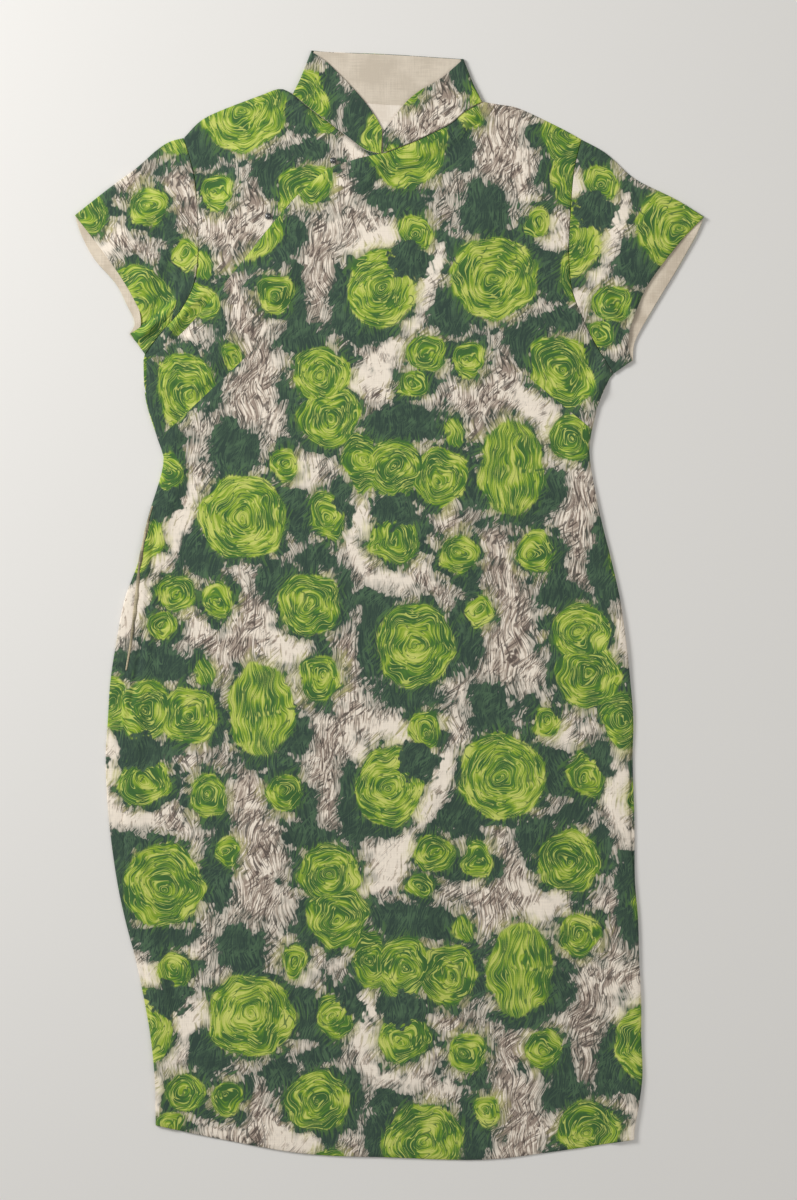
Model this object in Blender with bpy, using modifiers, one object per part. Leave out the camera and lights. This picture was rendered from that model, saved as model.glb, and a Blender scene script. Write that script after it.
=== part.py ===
"""Short-sleeved cheongsam dress, laid flat on its back with its front side up.

X runs across the dress (the wearer's right side is at -X), Y runs from hem to collar and Z is up.
The tables are in millimetres. Every cloth piece is an open sheet of points at the middle of its
cloth, given its wall by a Solidify modifier. Heights are counted in layers of cloth: layer 0 rests
on the surface, and each further layer lies one PITCH above the one below.
"""

import math

import bmesh
import bpy
from mathutils import Vector

MM = 0.001

# Cloth
WALL = 1.1
PITCH = 1.6
SEAM = 0.45

# Faces of the back that turn by less than this are joined
FLAT_ANGLE = math.radians(0.15)

# Mesh density
CURVE_STEPS = 24
BODY_ROWS = 26
ARMHOLE_ROWS = 10
OPENING_COLUMNS = 11
NECK_COLUMNS = 4
SHOULDER_COLUMNS = 5
UNDERLAP_NECK_COLUMNS = 5
UNDERLAP_SHOULDER_COLUMNS = 4
BACK_NECK_COLUMNS = 8
BACK_SHOULDER_COLUMNS = 4
SLEEVE_ROWS = 7
COLLAR_ROWS = 4
ROLL_STEPS = 4
RETURN_STEPS = 2

# Body: x of each edge at height y. The back's edges are the sides of the laid-flat dress, and the
# front's edges lie just inside them, or further in where the back comes round onto the front.
#    name            y     back left  front left  front right  back right
BODY = (
    ("hem corner", -500, -222.0, -221.0, 232.0, 232.5),
    ("hem turn", -450, -223.0, -222.0, 239.0, 240.0),
    ("calf", -410, -227.0, -226.0, 238.5, 239.0),
    ("knee", -375, -233.0, -229.5, 238.5, 239.0),
    ("above knee", -337, -241.0, -234.0, 236.5, 237.0),
    ("thigh", -299, -251.0, -243.0, 235.5, 236.0),
    ("mid thigh", -261, -259.0, -249.5, 232.0, 233.0),
    ("low hip", -204, -266.5, -253.0, 228.0, 232.5),
    ("full hip", -147, -269.5, -256.3, 228.5, 230.8),
    ("hip", -109, -267.5, -255.0, 230.5, 231.5),
    ("high hip", -71, -265.0, -251.5, 228.0, 228.5),
    ("placket", -33, -259.0, -245.5, 224.0, 224.5),
    ("placket top", 5, -251.5, -241.0, 218.5, 219.0),
    ("below waist", 43, -238.0, -237.0, 210.0, 210.5),
    ("low waist", 81, -230.0, -229.0, 200.5, 201.0),
    ("waist", 136, -214.5, -213.5, 190.0, 190.5),
    ("under bust", 157, -220.0, -219.0, 190.0, 190.5),
    ("bust", 195, -231.5, -230.5, 199.5, 200.0),
    ("underarm", 238, -234.0, -230.5, 220.0, 220.5),
)
Y, BACK_LEFT, FRONT_LEFT, FRONT_RIGHT, BACK_RIGHT = 1, 2, 3, 4, 5

HEM_LEFT_Y = -494.0
HEM_RIGHT_Y = -507.5
HEM = ((-221.5, -494), (-161, -507), (-80, -521), (0, -524.5), (85, -526.8), (150, -520), (232.5, -507.5))

# Edges of the upper body, each from the neck or shoulder outwards, as x, y
SHOULDER_RIGHT = ((-195, 443.5), (-180, 459), (-161, 469), (-123, 483.5), (-104, 490), (-92.5, 485))
SHOULDER_LEFT = ((88.5, 477.5), (105, 475), (124, 471), (162, 453), (182, 442))
OPENING = (
    (-230.5, 232), (-196, 259.5), (-153.5, 309), (-97.5, 378), (-61.5, 411.5), (-35.5, 422), (-6, 428.5),
)
NECK_RIGHT = ((-92.5, 485), (-72.5, 468.5), (-56.5, 457), (-37.5, 442), (-23.5, 432), (-8, 427.5))
NECK_LEFT = ((-6, 428.5), (22.5, 439.5), (41.5, 448.5), (58.5, 457.5), (72.5, 469), (88.5, 477.5))
BACK_NECK = ((-92.5, 485), (-70, 481), (-47, 478.5), (14, 474.5), (60, 474.5), (88.5, 477.5))
UNDERLAP_EDGE = ((-186, 206), (-132.5, 266), (-77.5, 326), (-42.5, 367.5), (-22.5, 405), (-10, 423))
UNDERLAP_FOOT = ((-232, 236), (-210, 218), (-186, 206))
FACING_EDGE = ((-80, 466), (-56, 449), (-20, 419), (-2, 413), (40, 436), (62, 447), (78, 464))

# Armholes from the shoulder down to the underarm, on the front and on the hidden back
ARMHOLE_RIGHT = (
    (-195, 443.5), (-185, 404), (-181.5, 352), (-184, 311.5), (-197, 281), (-216, 259.5), (-232, 238),
)
ARMHOLE_LEFT = (
    (182, 442), (174.5, 408.5), (170.5, 352), (170.5, 323), (174.5, 294.5), (190.5, 256.5), (212.5, 219.5),
)
BACK_ARMHOLE_RIGHT = (
    (-195, 443.5), (-189, 404), (-187, 352), (-190, 312), (-202, 282), (-218, 260), (-232, 240),
)
BACK_ARMHOLE_LEFT = ((182, 442), (177, 408), (175, 352), (178, 312), (187, 280), (199, 250), (212.5, 222))

# Sleeves: top fold from shoulder to cuff, then the cuff of each layer from the fold to the underarm
SLEEVE_RIGHT = {
    "top": ((-195, 443.5), (-208.5, 440), (-221, 432), (-242, 413.5), (-268.5, 394), (-298.8, 370)),
    "front cuff": ((-298.8, 370), (-280.5, 346.5), (-255.5, 312), (-240, 285), (-234, 268), (-246, 257.5)),
    "back cuff": (
        (-298.8, 370), (-292.5, 351), (-280, 328), (-260, 305), (-249, 284), (-242, 268), (-247, 257),
    ),
}
SLEEVE_LEFT = {
    "top": ((182, 442), (201, 432), (212.5, 423), (234, 404), (272, 385), (298.8, 368.5)),
    "front cuff": (
        (298.8, 368.5), (277, 346), (250.5, 312), (238.5, 290.5), (228, 261), (227, 243), (230, 232),
    ),
    "back cuff": (
        (298.8, 368.5), (291, 350.5), (272, 317), (260, 297.5), (245.5, 273.5), (233, 250), (231, 232),
    ),
}
# Share of a sleeve's length at which its front starts to rise over the facing, and over which it does
SLEEVE_RISE_START = 0.35
SLEEVE_RISE = 0.35
# The sleeve's facing, as shares of the way from the cuff to the second row of points above it
SLEEVE_FACING_ROWS = 2
SLEEVE_FACING_SPAN = (0.03, 0.93)

# Stand collar: upper edges of the wings and of the back part, and the folded sides
COLLAR_EDGE_RIGHT = (
    (-72.5, 524), (-60.5, 516), (-47.5, 503.5), (-33, 488.5), (-21.5, 475), (-13, 462), (-9, 452),
)
COLLAR_EDGE_LEFT = ((-4.5, 449), (3.5, 461), (16.5, 478), (31, 489.5), (48.5, 499.5), (68.5, 516.5))
COLLAR_EDGE_BACK = ((-72.5, 526.5), (-53, 525), (0, 523), (68.5, 518.5))
COLLAR_FOLD_LAYERS = 2
# The collar's bands stop short of the shoulder seams, by a share of the last step of their base
WING_BASE_TRIM = 0.15
BACK_BASE_TRIM = 0.2
LINING_SPAN = (0.02, 0.96)
LINING_END_TRIM = 0.2
FACING_INSET = 10.0
FACING_ROWS = 4

# The back's side edges lie over on the front for this far past the front's own edge
RETURN_UNDERLAP = 14.0
RETURN_TOP_Y = 204.0

# Rows of the front above this height crowd into its underarm corner
FRONT_CORNER_Y = 200.0

# Shares of the rows over which the top edge's and the hem's own shapes fade out
FRONT_TOP_REACH = 0.5
BACK_TOP_REACH = 0.3
HEM_REACH = 0.2

# What lies on top of another piece rises over it this gently
COVER_MARGIN = 14.0
COVER_RAMP = 40.0

FOLD_END_LENGTH = 0.3

# Soft folds and the two bust darts, as ridges from one end to the other
#    name                  x0    y0    x1    y1  height width
FOLDS = (
    ("right bust dart", -214, 163, -121, 250, 0.7, 12),
    ("left bust dart", 186, 171, 116, 229, 0.7, 12),
    ("right waist drag", -205, 120, -96, 84, 0.8, 20),
    ("left waist drag", 184, 128, 92, 96, 0.8, 20),
    ("right thigh wave", -128, -440, -92, -120, 1.3, 34),
    ("middle wave", 12, -480, 30, -150, 1.0, 30),
    ("left thigh wave", 138, -455, 126, -90, 1.2, 32),
    ("stomach wave", -40, 60, 64, 22, 0.8, 26),
    ("chest wave", 64, 300, 110, 398, 0.7, 24),
    ("left underarm crease", 203, 236, 194, 196, 0.9, 9),
    ("right shoulder wave", -146, 340, -122, 440, 0.7, 20),
    ("right sleeve wave", -212, 402, -262, 334, 0.8, 17),
    ("right sleeve crease", -196, 305, -229, 262, 1.1, 9),
    ("left sleeve wave", 208, 398, 252, 322, 0.9, 17),
    ("left sleeve crease", 200, 330, 222, 250, 0.8, 12),
)

# Press studs on the underlap, just outside the opening edge
STUDS = (("press_stud_neck", -53.5, 421.5), ("press_stud_chest", -115.0, 369.0))
STUD_RADIUS = 3.0
STUD_HEIGHT = 1.2
STUD_STEPS = 20
STUD_CLEARANCE = 0.35


def clear_scene():
    for item in list(bpy.data.objects):
        bpy.data.objects.remove(item, do_unlink=True)


def make_material(name, colour, roughness, metallic=0.0):
    material = bpy.data.materials.new(name)
    material.use_nodes = True
    shader = material.node_tree.nodes["Principled BSDF"]
    shader.inputs["Base Color"].default_value = (*colour, 1.0)
    shader.inputs["Roughness"].default_value = roughness
    shader.inputs["Metallic"].default_value = metallic
    return material


def ease(value):
    """Goes from 0 to 1 with soft ends as value does."""
    value = min(max(value, 0.0), 1.0)
    return value * value * (3.0 - 2.0 * value)


def line_through(points, steps):
    """Points at even distances along a smooth line through the given points."""
    knots = [Vector(point) for point in points]
    trail = []
    for index in range(len(knots) - 1):
        before = knots[max(index - 1, 0)]
        start, end = knots[index], knots[index + 1]
        after = knots[min(index + 2, len(knots) - 1)]
        for step in range(CURVE_STEPS):
            t = step / CURVE_STEPS
            pull = start * 2 + (end - before) * t
            pull += (before * 2 - start * 5 + end * 4 - after) * t * t
            pull += (start * 3 - before - end * 3 + after) * t * t * t
            trail.append(pull / 2)
    trail.append(knots[-1])
    reach = [0.0]
    for here, there in zip(trail, trail[1:]):
        reach.append(reach[-1] + (there - here).length)
    line = []
    segment = 0
    for step in range(steps + 1):
        wanted = reach[-1] * step / steps
        while segment < len(reach) - 2 and reach[segment + 1] < wanted:
            segment += 1
        share = (wanted - reach[segment]) / (reach[segment + 1] - reach[segment])
        line.append(trail[segment].lerp(trail[segment + 1], share))
    return line


def moved_aside(line, distance):
    """The same line moved sideways, to the left of its direction, for a seam's gap."""
    moved = []
    for index, point in enumerate(line):
        ahead = line[min(index + 1, len(line) - 1)] - line[max(index - 1, 0)]
        moved.append(point + Vector((-ahead.y, ahead.x)).normalized() * distance)
    return moved


def body_x(column, y):
    """Width table read at any height, smoothly."""
    y = min(max(y, BODY[0][Y]), BODY[-1][Y])
    index = 0
    while index < len(BODY) - 2 and BODY[index + 1][Y] < y:
        index += 1
    low, high = BODY[index], BODY[index + 1]
    before, after = BODY[max(index - 1, 0)], BODY[min(index + 2, len(BODY) - 1)]
    span = high[Y] - low[Y]
    t = (y - low[Y]) / span
    slope_low = (high[column] - before[column]) / (high[Y] - before[Y]) * span
    slope_high = (after[column] - low[column]) / (after[Y] - low[Y]) * span
    value = low[column] * (2 * t**3 - 3 * t**2 + 1) + high[column] * (3 * t**2 - 2 * t**3)
    return value + slope_low * (t**3 - 2 * t**2 + t) + slope_high * (t**3 - t**2)


def side_line(column, bottom_y, top_y, steps):
    line = []
    for step in range(steps + 1):
        y = bottom_y + (top_y - bottom_y) * step / steps
        line.append(Vector((body_x(column, y), y)))
    return line


def spread(left, right, bottom, top, top_reach=1.0, bottom_reach=1.0):
    """Rows of points between two sides. Each row is straight from side to side, plus a share of
    the bottom edge's and the top edge's own shape that fades over its reach of the rows."""
    rows = len(left) - 1
    columns = len(top) - 1
    field = []
    for j in range(rows + 1):
        t = j / rows
        top_share = ease((t - 1.0 + top_reach) / top_reach)
        bottom_share = ease((bottom_reach - t) / bottom_reach)
        row = []
        for i in range(columns + 1):
            s = i / columns
            point = left[j].lerp(right[j], s)
            point += (top[i] - top[0].lerp(top[-1], s)) * top_share
            point += (bottom[i] - bottom[0].lerp(bottom[-1], s)) * bottom_share
            row.append(point)
        field.append(row)
    return field


def distance_outside(point, outline):
    """How far a point lies outside a closed outline, 0 inside it."""
    inside = False
    nearest = math.inf
    for a, b in zip(outline, outline[1:] + outline[:1]):
        if (a.y > point.y) != (b.y > point.y):
            if point.x < a.x + (b.x - a.x) * (point.y - a.y) / (b.y - a.y):
                inside = not inside
        edge = b - a
        share = min(max((point - a).dot(edge) / max(edge.length_squared, 1e-9), 0.0), 1.0)
        nearest = min(nearest, (point - a - edge * share).length)
    return 0.0 if inside else nearest


def cover(point, outline):
    """1 over a piece that lies underneath and round it, fading to 0 further out."""
    return ease(1.0 - (distance_outside(point, outline) - COVER_MARGIN) / COVER_RAMP)


def fold_height(point):
    total = 0.0
    for _, x0, y0, x1, y1, height, width in FOLDS:
        start = Vector((x0, y0))
        run = Vector((x1, y1)) - start
        along = (point - start).dot(run) / run.length_squared
        across = (point - start - run * along).length
        overrun = FOLD_END_LENGTH * 0.4
        ends = ease((along + overrun) / FOLD_END_LENGTH) * ease((1 + overrun - along) / FOLD_END_LENGTH)
        total += height * ends * math.exp(-((across / width) ** 2))
    return total


def layer_height(layer):
    """Height of the middle of the cloth in a layer."""
    return WALL / 2 + layer * PITCH


def place(point, layer):
    return Vector((point.x, point.y, layer_height(layer)))


def make_sheet(name, points, material, kept=None, flat=False):
    """A cloth piece from rows of points: a grid moved onto them, then walled on both sides."""
    rows = len(points) - 1
    columns = len(points[0]) - 1
    mesh = bmesh.new()
    bmesh.ops.create_grid(mesh, x_segments=columns, y_segments=rows, size=0.5)
    dropped = []
    for face in mesh.faces:
        centre = face.calc_center_median()
        column = int((centre.x + 0.5) * columns)
        row = int((centre.y + 0.5) * rows)
        if kept and not kept(column, row):
            dropped.append(face)
    for vertex in mesh.verts:
        column = round((vertex.co.x + 0.5) * columns)
        row = round((vertex.co.y + 0.5) * rows)
        vertex.co = points[row][column] * MM
    bmesh.ops.delete(mesh, geom=dropped, context="FACES")
    data = bpy.data.meshes.new(name)
    mesh.to_mesh(data)
    mesh.free()
    data.shade_smooth()
    data.materials.append(material)
    piece = bpy.data.objects.new(name, data)
    if flat:
        dissolve = piece.modifiers.new("flat cloth", "DECIMATE")
        dissolve.decimate_type = "DISSOLVE"
        dissolve.angle_limit = FLAT_ANGLE
    wall = piece.modifiers.new("wall", "SOLIDIFY")
    wall.thickness = WALL * MM
    wall.offset = 0.0
    wall.use_even_offset = True
    return piece


def roll(inner, outward, low_layer, high_layer):
    """Points round a folded side, from the lower layer up to the higher, ends left out."""
    low, high = layer_height(low_layer), layer_height(high_layer)
    radius = (high - low) / 2
    points = []
    for step in range(1, ROLL_STEPS):
        angle = math.pi * step / ROLL_STEPS
        flat = inner + outward * radius * math.sin(angle)
        points.append(Vector((flat.x, flat.y, low + radius * (1 - math.cos(angle)))))
    return points


def roll_inset(layers):
    return layers * PITCH / 2 + WALL / 2


def return_width(side_column, front_column, y):
    return abs(body_x(front_column, y) - body_x(side_column, y)) + RETURN_UNDERLAP


def return_outline(side_column, front_column):
    """Plan of the strip that the back lays over onto the front at one side."""
    inward = 1 if side_column == BACK_LEFT else -1
    bottom = HEM_LEFT_Y if side_column == BACK_LEFT else HEM_RIGHT_Y
    outer = side_line(side_column, bottom, RETURN_TOP_Y, BODY_ROWS)
    inner = []
    for point in outer:
        width = return_width(side_column, front_column, point.y)
        inner.append(point + Vector((inward * width, 0)))
    return outer + inner[::-1]


def make_back(material):
    """One flat panel. Up to the bust its two side edges roll round onto the front."""
    inset = roll_inset(1)
    left = side_line(BACK_LEFT, HEM_LEFT_Y, BACK_ARMHOLE_RIGHT[-1][1], BODY_ROWS)
    right = side_line(BACK_RIGHT, HEM_RIGHT_Y, BACK_ARMHOLE_LEFT[-1][1], BODY_ROWS)
    left[-1] = Vector(BACK_ARMHOLE_RIGHT[-1])
    right[-1] = Vector(BACK_ARMHOLE_LEFT[-1])
    rolled = sum(1 for point in left if point.y < RETURN_TOP_Y) - 1
    for row in range(rolled + 1):
        left[row] = left[row] + Vector((inset, 0))
        right[row] = right[row] - Vector((inset, 0))
    left += line_through(BACK_ARMHOLE_RIGHT, ARMHOLE_ROWS)[::-1][1:]
    right += line_through(BACK_ARMHOLE_LEFT, ARMHOLE_ROWS)[::-1][1:]
    top = line_through(SHOULDER_RIGHT, BACK_SHOULDER_COLUMNS)
    top += line_through(BACK_NECK, BACK_NECK_COLUMNS)[1:]
    top += line_through(SHOULDER_LEFT, BACK_SHOULDER_COLUMNS)[1:]
    bottom = line_through(HEM, len(top) - 1)
    field = spread(left, right, bottom, top, top_reach=BACK_TOP_REACH, bottom_reach=HEM_REACH)
    points = []
    for row in field:
        left_width = return_width(BACK_LEFT, FRONT_LEFT, row[0].y)
        right_width = return_width(BACK_RIGHT, FRONT_RIGHT, row[-1].y)
        line = []
        for step in range(RETURN_STEPS):
            inward = Vector((left_width * (1 - step / RETURN_STEPS), 0))
            line.append(place(row[0] + inward, 1))
        line.append(place(row[0], 1))
        line += roll(row[0], Vector((-1, 0)), 0, 1)[::-1]
        line += [place(point, 0) for point in row]
        line += roll(row[-1], Vector((1, 0)), 0, 1)
        line.append(place(row[-1], 1))
        for step in range(1, RETURN_STEPS + 1):
            inward = Vector((-right_width * step / RETURN_STEPS, 0))
            line.append(place(row[-1] + inward, 1))
        points.append(line)
    edge_columns = RETURN_STEPS + ROLL_STEPS

    def kept(column, row):
        return row < rolled or edge_columns <= column < edge_columns + len(top) - 1

    return make_sheet("back", points, material, kept, flat=True)


def underlap_field():
    left = line_through(ARMHOLE_RIGHT, ARMHOLE_ROWS)[::-1]
    right = line_through(UNDERLAP_EDGE, ARMHOLE_ROWS)
    top = line_through(SHOULDER_RIGHT, UNDERLAP_SHOULDER_COLUMNS)
    top += line_through(NECK_RIGHT, UNDERLAP_NECK_COLUMNS)[1:]
    bottom = line_through(UNDERLAP_FOOT, len(top) - 1)
    left[0], right[-1] = bottom[0], top[-1]
    return spread(left, right, bottom, top)


def facing_field():
    top = moved_aside(line_through(BACK_NECK, BACK_NECK_COLUMNS), -2 * SEAM)
    top[0] += Vector((FACING_INSET, -FACING_INSET / 3))
    top[-1] += Vector((-FACING_INSET, -FACING_INSET / 3))
    bottom = line_through(FACING_EDGE, BACK_NECK_COLUMNS)
    left = [bottom[0].lerp(top[0], row / FACING_ROWS) for row in range(FACING_ROWS + 1)]
    right = [bottom[-1].lerp(top[-1], row / FACING_ROWS) for row in range(FACING_ROWS + 1)]
    return spread(left, right, bottom, top)


def outline_of(field):
    edge = list(field[0]) + [row[-1] for row in field[1:]]
    return edge + field[-1][-2::-1] + [row[0] for row in field[-2:0:-1]]


def underlap_layer(point, plans):
    return 1 + cover(point, plans["facing"]) + fold_height(point) / PITCH


def front_layer(point, plans):
    """Layer that the big front lies in, with the pieces below it and its own folds."""
    below = max(cover(point, plans[name]) for name in ("underlap", "left return", "right return"))
    return 1 + below + cover(point, plans["facing"]) + fold_height(point) / PITCH


def make_front(material, plans):
    left = side_line(FRONT_LEFT, HEM_LEFT_Y, FRONT_CORNER_Y, BODY_ROWS)
    left += line_through((left[-1], OPENING[0]), ARMHOLE_ROWS)[1:]
    right = side_line(FRONT_RIGHT, HEM_RIGHT_Y, ARMHOLE_LEFT[-1][1], BODY_ROWS)
    right[-1] = Vector(ARMHOLE_LEFT[-1])
    right += line_through(ARMHOLE_LEFT, ARMHOLE_ROWS)[::-1][1:]
    top = line_through(OPENING, OPENING_COLUMNS)
    top += line_through(NECK_LEFT, NECK_COLUMNS)[1:]
    top += line_through(SHOULDER_LEFT, SHOULDER_COLUMNS)[1:]
    bottom = line_through(HEM, len(top) - 1)
    field = spread(left, right, bottom, top, top_reach=FRONT_TOP_REACH, bottom_reach=HEM_REACH)
    points = [[place(point, front_layer(point, plans)) for point in row] for row in field]
    return make_sheet("front", points, material)


def sleeve_layers(shape, front_armhole, back_armhole, outward):
    """Rows of points of a sleeve's two layers from armhole to cuff, each from fold to underarm."""
    fields = []
    for armhole, cuff in ((front_armhole, "front cuff"), (back_armhole, "back cuff")):
        seam = moved_aside(line_through(armhole, ARMHOLE_ROWS), -SEAM * outward)
        hem = line_through(shape[cuff], ARMHOLE_ROWS)
        fold = line_through(shape["top"], SLEEVE_ROWS)
        fold[0] = seam[0]
        under = [seam[-1].lerp(hem[-1], row / SLEEVE_ROWS) for row in range(SLEEVE_ROWS + 1)]
        fields.append(spread(fold, under, seam, hem))
    return fields


def sleeve_rise(row):
    """Extra layers of a sleeve's front towards the cuff, where its facing lies inside."""
    return ease((row / SLEEVE_ROWS - SLEEVE_RISE_START) / SLEEVE_RISE)


def make_sleeve(name, material, shape, armholes, outward, panel_layer):
    front, back = sleeve_layers(shape, *armholes, outward)
    points = []
    for row in range(SLEEVE_ROWS + 1):
        near = 1 - ease(2 * row / SLEEVE_ROWS)
        layers = []
        for seam_point, point in zip(front[0], front[row]):
            folds = fold_height(point) / PITCH * (1 - near)
            layers.append(1 + (panel_layer(seam_point) - 1) * near + sleeve_rise(row) + folds)
        across = (front[row][1] - front[row][0]).normalized()
        inset = across * roll_inset(layers[0])
        fold = front[row][0] + inset
        line = [place(p, layer) for p, layer in zip(front[row][:0:-1], layers[:0:-1])]
        line.append(place(fold, layers[0]))
        line += roll(fold, -across, 0, layers[0])[::-1]
        line.append(place(fold, 0))
        line += [place(p, 0) for p in back[row][1:]]
        points.append(line)
    return make_sheet(name, points, material)


def make_sleeve_facing(name, material, shape, armholes, outward):
    """Turned-up hem inside the sleeve, made from its back layer's points, moved up a layer."""
    _, back = sleeve_layers(shape, *armholes, outward)
    hem, above = back[-1], back[-3]
    low, high = SLEEVE_FACING_SPAN
    points = []
    for row in range(SLEEVE_FACING_ROWS + 1):
        share = low + (high - low) * row / SLEEVE_FACING_ROWS
        points.append([place(h.lerp(a, share), 1) for h, a in zip(hem[1:], above[1:])])
    return make_sheet(name, points, material)


def collar_rows():
    """Base and upper edge of the collar from the right wing's front end, round the back, to the
    left wing's: plan points and layers, with the folded sides between."""
    right_base = moved_aside(line_through(NECK_RIGHT, UNDERLAP_NECK_COLUMNS), SEAM)
    right_base[0] = right_base[0].lerp(right_base[1], WING_BASE_TRIM)
    left_base = moved_aside(line_through(NECK_LEFT, NECK_COLUMNS), SEAM)
    left_base[-1] = left_base[-1].lerp(left_base[-2], WING_BASE_TRIM)
    back_base = moved_aside(line_through(BACK_NECK, BACK_NECK_COLUMNS), SEAM)
    back_base[0] = back_base[0].lerp(back_base[1], BACK_BASE_TRIM)
    back_base[-1] = back_base[-1].lerp(back_base[-2], BACK_BASE_TRIM)
    right_edge = line_through(COLLAR_EDGE_RIGHT, UNDERLAP_NECK_COLUMNS)
    left_edge = line_through(COLLAR_EDGE_LEFT, NECK_COLUMNS)
    back_edge = line_through(COLLAR_EDGE_BACK, BACK_NECK_COLUMNS)
    return (right_base, right_edge), (back_base, back_edge), (left_base, left_edge)


def make_collar(material, plans):
    right, back, left = collar_rows()
    out_right = square_to(right[0][0], right[1][0], 1)
    out_left = square_to(left[0][-1], left[1][-1], -1)
    points = []
    for row in range(COLLAR_ROWS + 1):
        share = row / COLLAR_ROWS
        wings = []
        for (base, edge), panel_layer in ((right, underlap_layer), (left, front_layer)):
            wing = []
            for low, high in zip(base, edge):
                layer = panel_layer(low, plans)
                layer += (COLLAR_FOLD_LAYERS - layer) * ease(share)
                wing.append(place(low.lerp(high, share), max(layer, COLLAR_FOLD_LAYERS)))
            wings.append(wing)
        middle = [place(low.lerp(high, share), 0) for low, high in zip(*back)]
        line = wings[0][::-1]
        line += side_roll(wings[0][0], middle[0], out_right)[::-1]
        line += middle
        line += side_roll(wings[1][-1], middle[-1], out_left)
        line += wings[1][::-1]
        points.append(line)
    return make_sheet("collar", points, material)


def square_to(start, end, turn):
    """Level direction square to the way from start to end, on its left where turn is 1."""
    along = end - start
    return Vector((-along.y * turn, along.x * turn, 0)).normalized()


def side_roll(upper, lower, outward):
    """Half round from a lower point to an upper one, bulging outward."""
    centre = (upper + lower) / 2
    half = (upper - lower) / 2
    points = []
    for step in range(1, ROLL_STEPS):
        angle = math.pi * step / ROLL_STEPS
        bulge = outward * half.z * math.sin(angle)
        points.append(centre - half * math.cos(angle) + bulge)
    return points


def make_collar_lining(material):
    """Inside of the collar's back part, made from the collar's own points, moved up a layer."""
    _, (base, edge), _ = collar_rows()
    points = []
    for row in range(COLLAR_ROWS + 1):
        share = LINING_SPAN[0] + (LINING_SPAN[1] - LINING_SPAN[0]) * row / COLLAR_ROWS
        line = [place(low.lerp(high, share), 1) for low, high in zip(base, edge)]
        line[0] = line[0].lerp(line[1], LINING_END_TRIM)
        line[-1] = line[-1].lerp(line[-2], LINING_END_TRIM)
        points.append(line)
    return make_sheet("collar_lining", points, material)


def make_facing(material):
    points = [[place(point, 1) for point in row] for row in facing_field()]
    return make_sheet("back_neck_facing", points, material)


def make_underlap(material, plans):
    field = underlap_field()
    points = [[place(point, underlap_layer(point, plans)) for point in row] for row in field]
    return make_sheet("small_front", points, material)


def make_stud(name, x, y, material, plans):
    """Domed metal press stud, turned from its profile, seated on the underlap."""
    seat = layer_height(underlap_layer(Vector((x, y)), plans)) + WALL / 2 + STUD_CLEARANCE
    radius, height = STUD_RADIUS, STUD_HEIGHT
    profile = (
        (0, height),
        (0.35 * radius, height),
        (0.45 * radius, 0.5 * height),
        (0.85 * radius, 0.42 * height),
        (radius, 0.2 * height),
        (radius, 0),
        (0, 0),
    )
    data = bpy.data.meshes.new(name)
    vertices = [(across * MM, 0, up * MM) for across, up in profile]
    data.from_pydata(vertices, [(i, i + 1) for i in range(len(profile) - 1)], [])
    data.materials.append(material)
    stud = bpy.data.objects.new(name, data)
    stud.location = (x * MM, y * MM, seat * MM)
    turn = stud.modifiers.new("turned", "SCREW")
    turn.steps = STUD_STEPS
    turn.render_steps = STUD_STEPS
    turn.use_merge_vertices = True
    turn.merge_threshold = 0.00001
    return stud


def main():
    clear_scene()
    plans = {
        "underlap": outline_of(underlap_field()),
        "facing": outline_of(facing_field()),
        "left return": return_outline(BACK_LEFT, FRONT_LEFT),
        "right return": return_outline(BACK_RIGHT, FRONT_RIGHT),
    }
    print_colours = {"back": (0.11, 0.17, 0.06), "front": (0.13, 0.2, 0.07)}
    print_colours["small_front"] = (0.15, 0.2, 0.1)
    cloth = {name: make_material(name, rgb, 0.7) for name, rgb in print_colours.items()}
    right_armholes = (ARMHOLE_RIGHT, BACK_ARMHOLE_RIGHT)
    left_armholes = (ARMHOLE_LEFT, BACK_ARMHOLE_LEFT)
    parts = [
        make_back(cloth["back"]),
        make_front(cloth["front"], plans),
        make_underlap(cloth["small_front"], plans),
        make_sleeve(
            "sleeve_right", make_material("sleeve_right", (0.17, 0.22, 0.1), 0.7),
            SLEEVE_RIGHT, right_armholes, 1, lambda point: underlap_layer(point, plans),
        ),
        make_sleeve(
            "sleeve_left", make_material("sleeve_left", (0.16, 0.21, 0.09), 0.7),
            SLEEVE_LEFT, left_armholes, -1, lambda point: front_layer(point, plans),
        ),
        make_sleeve_facing(
            "sleeve_facing_right", make_material("sleeve_facing_right", (0.72, 0.68, 0.6), 0.8),
            SLEEVE_RIGHT, right_armholes, 1,
        ),
        make_sleeve_facing(
            "sleeve_facing_left", make_material("sleeve_facing_left", (0.72, 0.68, 0.6), 0.8),
            SLEEVE_LEFT, left_armholes, -1,
        ),
        make_collar(make_material("collar", (0.12, 0.18, 0.08), 0.7), plans),
        make_collar_lining(make_material("collar_lining", (0.6, 0.58, 0.52), 0.8)),
        make_facing(make_material("back_neck_facing", (0.78, 0.74, 0.66), 0.8)),
    ]
    metal = make_material("press_stud", (0.25, 0.25, 0.26), 0.35, 1.0)
    for name, x, y in STUDS:
        parts.append(make_stud(name, x, y, metal, plans))
    dress = bpy.data.collections.new("cheongsam dress")
    bpy.context.scene.collection.children.link(dress)
    for part in parts:
        dress.objects.link(part)


main()
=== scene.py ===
# %% [markdown]
# # A cheongsam laid flat
# This lesson dresses a short-sleeved cheongsam that lies on its back on a table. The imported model
# gives the frame: how wide each piece is and how the layers lie on each other. Here every piece is
# made again as thin cloth on the same lines, with its creases, its seams and its printed roses.

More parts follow.
